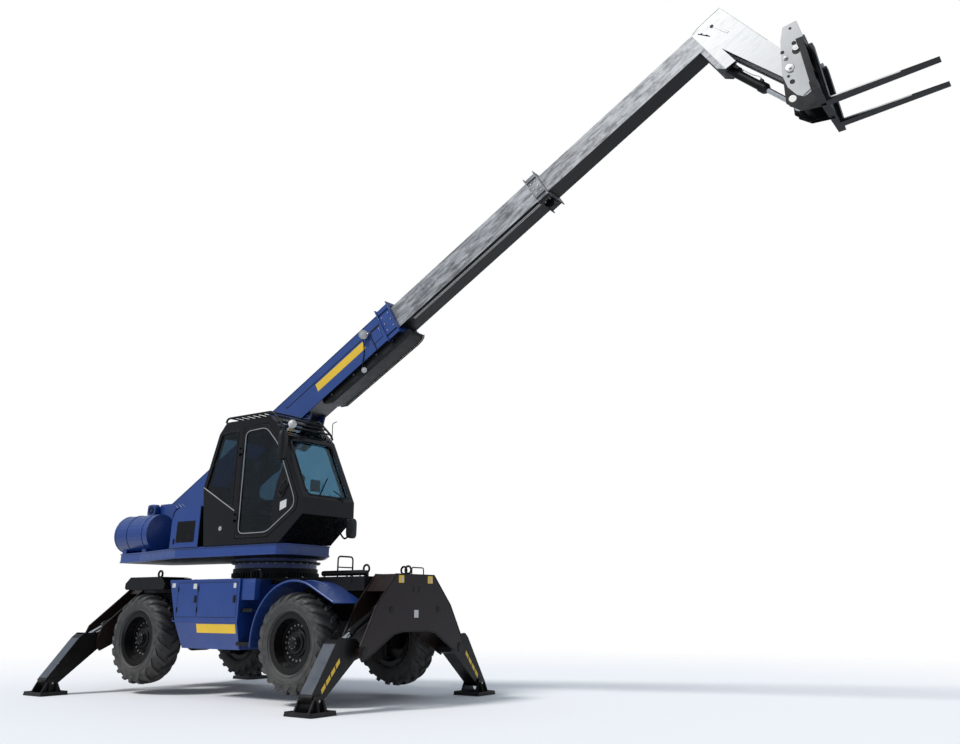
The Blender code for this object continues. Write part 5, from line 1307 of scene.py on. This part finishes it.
TOWER_NEAR, TOWER_FAR = 0.15 - 0.21 - 0.02 - 0.03, 0.15 + 0.21 + 0.02 + 0.03
TOWER_BOLTS = [(-0.80, 1.99), (-1.15, 2.06), (-1.50, 2.12), (-1.85, 2.32), (-2.10, 2.52), (-2.30, 2.60),
               (-2.62, 2.18),
               (-2.40, 1.95), (-1.90, 1.95), (-1.40, 1.95)]
tower_bolts = [bolts([(SLEW_X + x, y, z) for x, z in TOWER_BOLTS], (0, way, 0), 0.016)
               for y, way in ((TOWER_NEAR, -1), (TOWER_FAR, 1))]
piece("tower_bolts", merged(*tower_bolts), STEEL, "turret")
doubler = [(-2.80, 2.42), (-2.78, 2.60), (-2.70, 2.65), (-2.33, 2.65), (-2.12, 2.50), (-2.20, 2.24),
           (-2.60, 2.14)]
rings = [slab(doubler, TOWER_NEAR - 0.012, TOWER_NEAR + 0.001, MACHINE),
         slab(doubler, TOWER_FAR - 0.001, TOWER_FAR + 0.012, MACHINE)]
piece("pivot_doublers", merged(*rings), BLUE, "turret", 0.003)
motor = slab(softened([(-2.93, 2.50), (-2.93, 2.68), (-2.72, 2.68), (-2.72, 2.50)]), -0.22, -0.125, MACHINE)
piece("tower_block", motor, BLUE, "turret", 0.012)
eye_ring = turned([(0, 0.03), (0, 0.06), (0.008, 0.06), (0.008, 0.03)],
                  MACHINE @ placed((-2.825, -0.222, 2.59), (1, 0, 0), (0, 0, 1), (0, -1, 0)), 24, True)
piece("tower_block_ring", eye_ring, PLASTIC, "turret")

DECK = [(1.12, -1.12), (1.22, -1.00), (1.16, -0.12), (0.58, 0.44), (0.34, 0.64), (-1.20, 0.64), (-2.60, 0.50),
        (-2.95, 0.42), (-2.95, -0.60), (-2.30, -0.72), (-0.95, -1.12)]
PLAN = placed((SLEW_X, 0, 0), (1, 0, 0), (0, 0, 1), (0, 1, 0))
lips = merged(rim_of(grown(DECK, -0.001), 0.012, 1.876, 1.893, PLAN),
              rim_of(grown(DECK, -0.001), 0.010, 1.756, 1.774, PLAN))
piece("deck_lips", lips, BLUE, "turret", 0.003)
under = slab(grown(DECK, -0.03), 1.7545, 1.7560, PLAN)
piece("deck_underside", under, IRON, "turret")
flange = turned([(1.690, 0.598), (1.690, 0.655), (1.712, 0.655), (1.712, 0.598)],
                placed((SLEW_X, 0, 0), (1, 0, 0), (0, 1, 0), (0, 0, 1)), 64, True)
piece("slewing_flange", flange, IRON, "turret", 0.002)
ring = bolts(ring_points((SLEW_X, 0, 1.690), (0, 0, -1), 0.632, 32), (0, 0, -1), 0.014)
piece("slewing_bolts", ring, STEEL, "turret")
teeth = copies(block((0.618, 0.640), (-0.012, 0.012), (1.50, 1.56)),
               [placed((SLEW_X, 0, 0), (np.cos(t), np.sin(t), 0), (-np.sin(t), np.cos(t), 0), (0, 0, 1))
                for t in np.linspace(0, 2 * np.pi, 84, endpoint=False)])
piece("slewing_teeth", teeth, IRON, "chassis")
print("upper frame dressed")

# %% [markdown]
# ## Stabilisers and deck
# Each stabiliser frame has a welded border and, at the front, small blank plates. The front legs
# carry slanting yellow dashes. A foot is a shallow tray with ribs up to the pin. On the deck lie
# a low rail, lifting rings and a pipe.

# %% Stabiliser frames: borders, slots and blank plates
def across_place(x):
    """Outlines given as (y, z) stand across the machine; thickness runs forward."""
    return placed((SLEW_X + x, 0, 0), (0, 1, 0), (1, 0, 0), (0, 0, 1))


def border(outline, width, thick, x, way, finish, name):
    """A raised band just inside an outline."""
    band = rim_of(grown(outline, -width - 0.004), width, 0, way * thick, across_place(x))
    piece(name, band, finish, "chassis", 0.002)


FRONT_HALF = [(0.41, 1.51), (0.79, 1.14), (1.08, 0.69), (1.08, 0.57), (1.03, 0.515), (0.82, 0.605),
              (0.433, 0.80),
              (0.26, 0.825)]
REAR_HALF = [(0.41, 1.51), (0.75, 1.24), (1.24, 0.86), (1.31, 0.70), (1.30, 0.58), (1.24, 0.53), (1.0, 0.63),
             (0.52, 0.80), (0.26, 0.825)]
STAND_FACE = 2.62
for half, way, name in ((FRONT_HALF, 1, "front"), (REAR_HALF, -1, "rear")):
    whole = half + [(-y, z) for y, z in half[::-1]]
    border(whole, 0.012, 0.004, way * STAND_FACE, way, BLACK, name + "_stand_border")
face = across_place(STAND_FACE)
slots = merged(*[slab([(y - 0.018, 1.29), (y - 0.018, 1.37), (y + 0.018, 1.37), (y + 0.018, 1.29)], -0.001,
                      0.002, face)
                 for y in (-0.05, 0.07)])
piece("stand_slots", slots, PLASTIC, "chassis")
piece("stand_white_plate", slab([(-0.035, 0.99), (-0.035, 1.08), (0.055, 1.08), (0.055, 0.99)], -0.001,
                                0.0025, face),
      WHITE, "chassis")
for side, sign in SIDES:
    y = sign * 0.31
    plate = slab([(y - 0.055, 1.40), (y - 0.055, 1.49), (y + 0.055, 1.49), (y + 0.055, 1.40)], -0.001, 0.0025,
                 face)
    piece("stand_plate_" + side, plate, YELLOW, "chassis")
    inset = slab([(y + 0.005, 1.41), (y + 0.005, 1.47), (y + 0.045, 1.47), (y + 0.045, 1.41)], 0.0024, 0.0035,
                 face)
    piece("stand_plate_field_" + side, inset, WHITE, "chassis")
pin_caps = []
for way, leg_y, top_y, top_z in ((1, 1.00, 0.50, 1.085), (-1, 1.22, 0.62, 1.10)):
    for sign in (-1, 1):
        spot = (SLEW_X + way * STAND_FACE, sign * leg_y, 0.62)
        pin_caps.append(moved(turned([(-0.004, 0), (-0.004, 0.062), (0.006, 0.062), (0.010, 0.056),
                                      (0.010, 0)], steps=28),
                              placed(spot, (0, 1, 0), (0, 0, way), (way, 0, 0))))
        spot = (SLEW_X + way * STAND_FACE, sign * top_y, top_z)
        pin_caps.append(moved(turned([(-0.004, 0), (-0.004, 0.042), (0.004, 0.042), (0.007, 0.038),
                                      (0.007, 0)], steps=24),
                              placed(spot, (0, 1, 0), (0, 0, way), (way, 0, 0))))
piece("stand_pin_caps", merged(*pin_caps), BLACK, "chassis", 0.001)
print("stands dressed")

# %% Legs, dashes and feet
LEG_MID = {"front": ((1.235, 0.62), (1.655, 0.17)), "rear": ((1.43, 0.62), (1.915, 0.17))}
LEG_EDGE = {"front": ((1.37, 0.73), (1.755, 0.19)), "rear": ((1.57, 0.72), (2.02, 0.19))}
PAD_Y = {"front": 1.655, "rear": 1.92}
PAD_X, PAD_TOP, PIN_HALF = 2.40, 0.0195, 0.126
for tag in HUBS:
    end, side = tag.split("_")
    sign = 1 if side == "left" else -1
    way = 1 if end == "front" else -1
    body = "leg_" + tag
    spot = across_place(way * PAD_X)
    (y0, z0), (y1, z1) = LEG_EDGE[end]
    long = np.hypot(y1 - y0, z1 - z0)
    down = np.array([y1 - y0, z1 - z0]) / long
    out = np.array([-down[1], down[0]])
    a, b = np.array([y0, z0]) + down * 0.02, np.array([y1, z1]) - down * 0.03
    strip = [a - out * 0.004, b - out * 0.004, b + out * 0.006, a + out * 0.006]
    strip = [(sign * y, z) for y, z in strip]
    # The strip on each leg's outer face carries the painted sky reflection.
    piece("leg_outer_face_" + tag, slab(strip, -0.094, 0.094, spot), LEG_SKY_REFLECTION, body, 0.002)
    if end == "front":
        p, q = np.array(LEG_MID[end])
        line = (q - p) / np.linalg.norm(q - p)
        wide = np.array([line[1], -line[0]]) * 0.022
        marks = []
        for t in (0.24, 0.42, 0.60, 0.78):
            c = p + (q - p) * t
            shape = [c - line * 0.045 - wide - line * 0.012, c - line * 0.045 + wide + line * 0.012,
                     c + line * 0.045 + wide + line * 0.012, c + line * 0.045 - wide - line * 0.012]
            marks.append(slab([(sign * y, z) for y, z in shape], 0.0995, 0.1012, spot))
        piece("leg_dashes_" + tag, merged(*marks), YELLOW, body)
    pad = "pad_" + tag
    centre = (SLEW_X + way * PAD_X, sign * PAD_Y[end], 0)
    here = placed(centre, (1, 0, 0), (0, 1, 0), (0, 0, 1))
    side_rim = slab([(-0.209, PAD_TOP), (-0.209, 0.048), (-0.199, 0.048), (-0.178, PAD_TOP)], -0.205, 0.205)
    quarter_turns = [here @ placed((0, 0, 0), (np.cos(t), np.sin(t), 0), (-np.sin(t), np.cos(t), 0),
                                   (0, 0, 1))
                     for t in np.radians((0, 90, 180, 270))]
    webs = [moved(slab([(0, PAD_TOP), (0.075, PAD_TOP), (0.018, 0.16), (0, 0.16)], -0.007, 0.007),
                  here @ placed((s * PIN_HALF, f * 0.05, 0), (s, 0, 0), (0, 1, 0), (0, 0, 1)))
            for s in (-1, 1) for f in (-1, 1)]
    piece("foot_tray_" + tag, merged(copies(side_rim, quarter_turns), *webs), BLACK, pad,
          0.002)
    heads = bolts([(centre[0] - PIN_HALF, centre[1], 0.15)], (-1, 0, 0), 0.016)
    tails = bolts([(centre[0] + PIN_HALF, centre[1], 0.15)], (1, 0, 0), 0.016)
    piece("foot_pin_heads_" + tag, merged(heads, tails), STEEL, pad)
print("legs dressed")

# %% Deck rail, rings and pipe
rail = bar([(1.70, -0.52, 1.47), (1.70, -0.52, 1.735), (1.70, -0.22, 1.735), (1.70, -0.22, 1.47)], 0.011,
           0.05, MACHINE,
           (1, 0, 0))
mid = bar([(1.70, -0.52, 1.60), (1.70, -0.22, 1.60)], 0.008, place=MACHINE, lift=(1, 0, 0))
piece("deck_rail", merged(rail, mid), BLACK, "chassis")
pipe = turned([(0, 0), (0, 0.034), (0.72, 0.034), (0.725, 0.028), (0.78, 0.028), (0.78, 0)],
              MACHINE @ placed((1.42, -0.50, 1.525), (0, 1, 0), (0, 0, 1), (1, 0, 0)), 20)
piece("deck_pipe", pipe, BLACK, "chassis", 0.002)
cap = turned([(-0.012, 0), (-0.012, 0.026), (0.002, 0.028), (0.002, 0)],
             MACHINE @ placed((1.42, -0.50, 1.525), (0, 1, 0), (0, 0, 1), (1, 0, 0)), 20)
piece("deck_pipe_cap", cap, STEEL, "chassis")
RING = turned(circle(0.014, 10) + (0, 0.048), steps=28, closed=True)
spots = [(2.10, -0.40, 1.575), (2.10, 0.40, 1.575), (2.44, 0.06, 1.565)]
lift_rings = merged(*[moved(RING, MACHINE @ placed(spot, (1, 0, 0), (0, 0, 1),
                                                   (0, -1, 0))) for spot in spots])
feet = merged(*[block((x - 0.03, x + 0.03), (y - 0.016, y + 0.016), (1.475, z - 0.03), MACHINE) for x, y,
                z in spots])
piece("deck_lifting_rings", merged(lift_rings, feet), BLACK, "chassis", 0.003)
rail = bar([(2.44, 0.14, 1.50), (2.44, 0.14, 1.60), (2.44, 0.40, 1.60), (2.44, 0.40, 1.50)], 0.008, 0.03,
           MACHINE,
           (1, 0, 0))
piece("stand_rail", rail, BLACK, "chassis")
tag_plate = block((2.02, 2.03), (-0.60, -0.54), (1.40, 1.47), MACHINE)
piece("deck_tag", tag_plate, WHITE, "chassis")
deck_bolts = bolts([(SLEW_X + x, y, 1.480) for x in (-1.9, -1.5, -1.1, -0.8, 0.8, 1.1, 1.5,
                                                     1.9) for y in (-0.56, 0.56)],
                   (0, 0, 1), 0.014)
piece("deck_bolts", deck_bolts, STEEL, "chassis")
print("deck dressed")

# %% [markdown]
# ## Floor, light and camera
# The floor is pale and fades into white with distance, so it keeps the machine's soft shadow
# and leaves no horizon. A soft sun stands high on the camera's side, and a pale sky fills the
# shadows. The camera sits low in front of the cab's side and looks up along the boom.

# %% Floor, sky, sun and camera
def floor_finish():
    made, tree, shader = shader_of("pale_floor")
    shader.inputs["Base Color"].default_value = (0.86, 0.86, 0.86, 1)
    shader.inputs["Roughness"].default_value = 0.9
    spot = add(tree, "TexCoord").outputs["Object"]
    far = add(tree, "VectorMath", {0: spot}, operation="LENGTH").outputs["Value"]
    clear = add(tree, "BsdfTransparent")
    blend = add(tree, "MixShader", {0: ramp(tree, far, 7.0, 16.0)})
    tree.links.new(shader.outputs[0], blend.inputs[1])
    tree.links.new(clear.outputs[0], blend.inputs[2])
    tree.links.new(blend.outputs[0], tree.nodes["Material Output"].inputs["Surface"])
    return made


floor_mesh = bpy.data.meshes.new("floor")
floor_mesh.from_pydata([(-18, -18, -0.001), (18, -18, -0.001), (18, 18, -0.001), (-18, 18, -0.001)], [],
                       [(0, 1, 2, 3)])
floor = bpy.data.objects.new("floor", floor_mesh)
bpy.context.scene.collection.objects.link(floor)
floor_mesh.materials.append(floor_finish())

world = bpy.context.scene.world or bpy.data.worlds.new("sky")
bpy.context.scene.world = world
world.use_nodes = True
sky = world.node_tree
sky.nodes.clear()
rays = add(sky, "LightPath")
seen = math_node(sky, "MAXIMUM", rays.outputs["Is Camera Ray"], rays.outputs["Is Transmission Ray"])
dull = add(sky, "Background", {"Color": (0.80, 0.88, 1.0, 1), "Strength": 0.55})
white = add(sky, "Background", {"Color": (1, 1, 1, 1), "Strength": 1.0})
either = add(sky, "MixShader", {0: seen})
sky.links.new(dull.outputs[0], either.inputs[1])
sky.links.new(white.outputs[0], either.inputs[2])
sky.links.new(either.outputs[0], add(sky, "OutputWorld").inputs["Surface"])

sun = bpy.data.objects.new("soft_sun", bpy.data.lights.new("soft_sun", "SUN"))
sun.data.energy = 2.6
sun.data.angle = math.radians(14)
sun.rotation_euler = (math.radians(42), math.radians(-16), math.radians(-10))
bpy.context.scene.collection.objects.link(sun)

eye = bpy.data.objects.new("camera", bpy.data.cameras.new("camera"))
eye.location = (SLEW_X + 10.388, -10.141, 1.126)
eye.rotation_euler = (math.radians(90 + 24.5), math.radians(0.0), math.radians(36.2))
eye.data.sensor_width = 36
eye.data.lens = 33.48
eye.data.shift_x = 0.0445
eye.data.shift_y = -0.180
eye.data.clip_end = 200
bpy.context.scene.collection.objects.link(eye)
bpy.context.scene.camera = eye
bpy.context.scene.view_settings.view_transform = "Standard"
print("camera at", [round(v, 2) for v in eye.location])
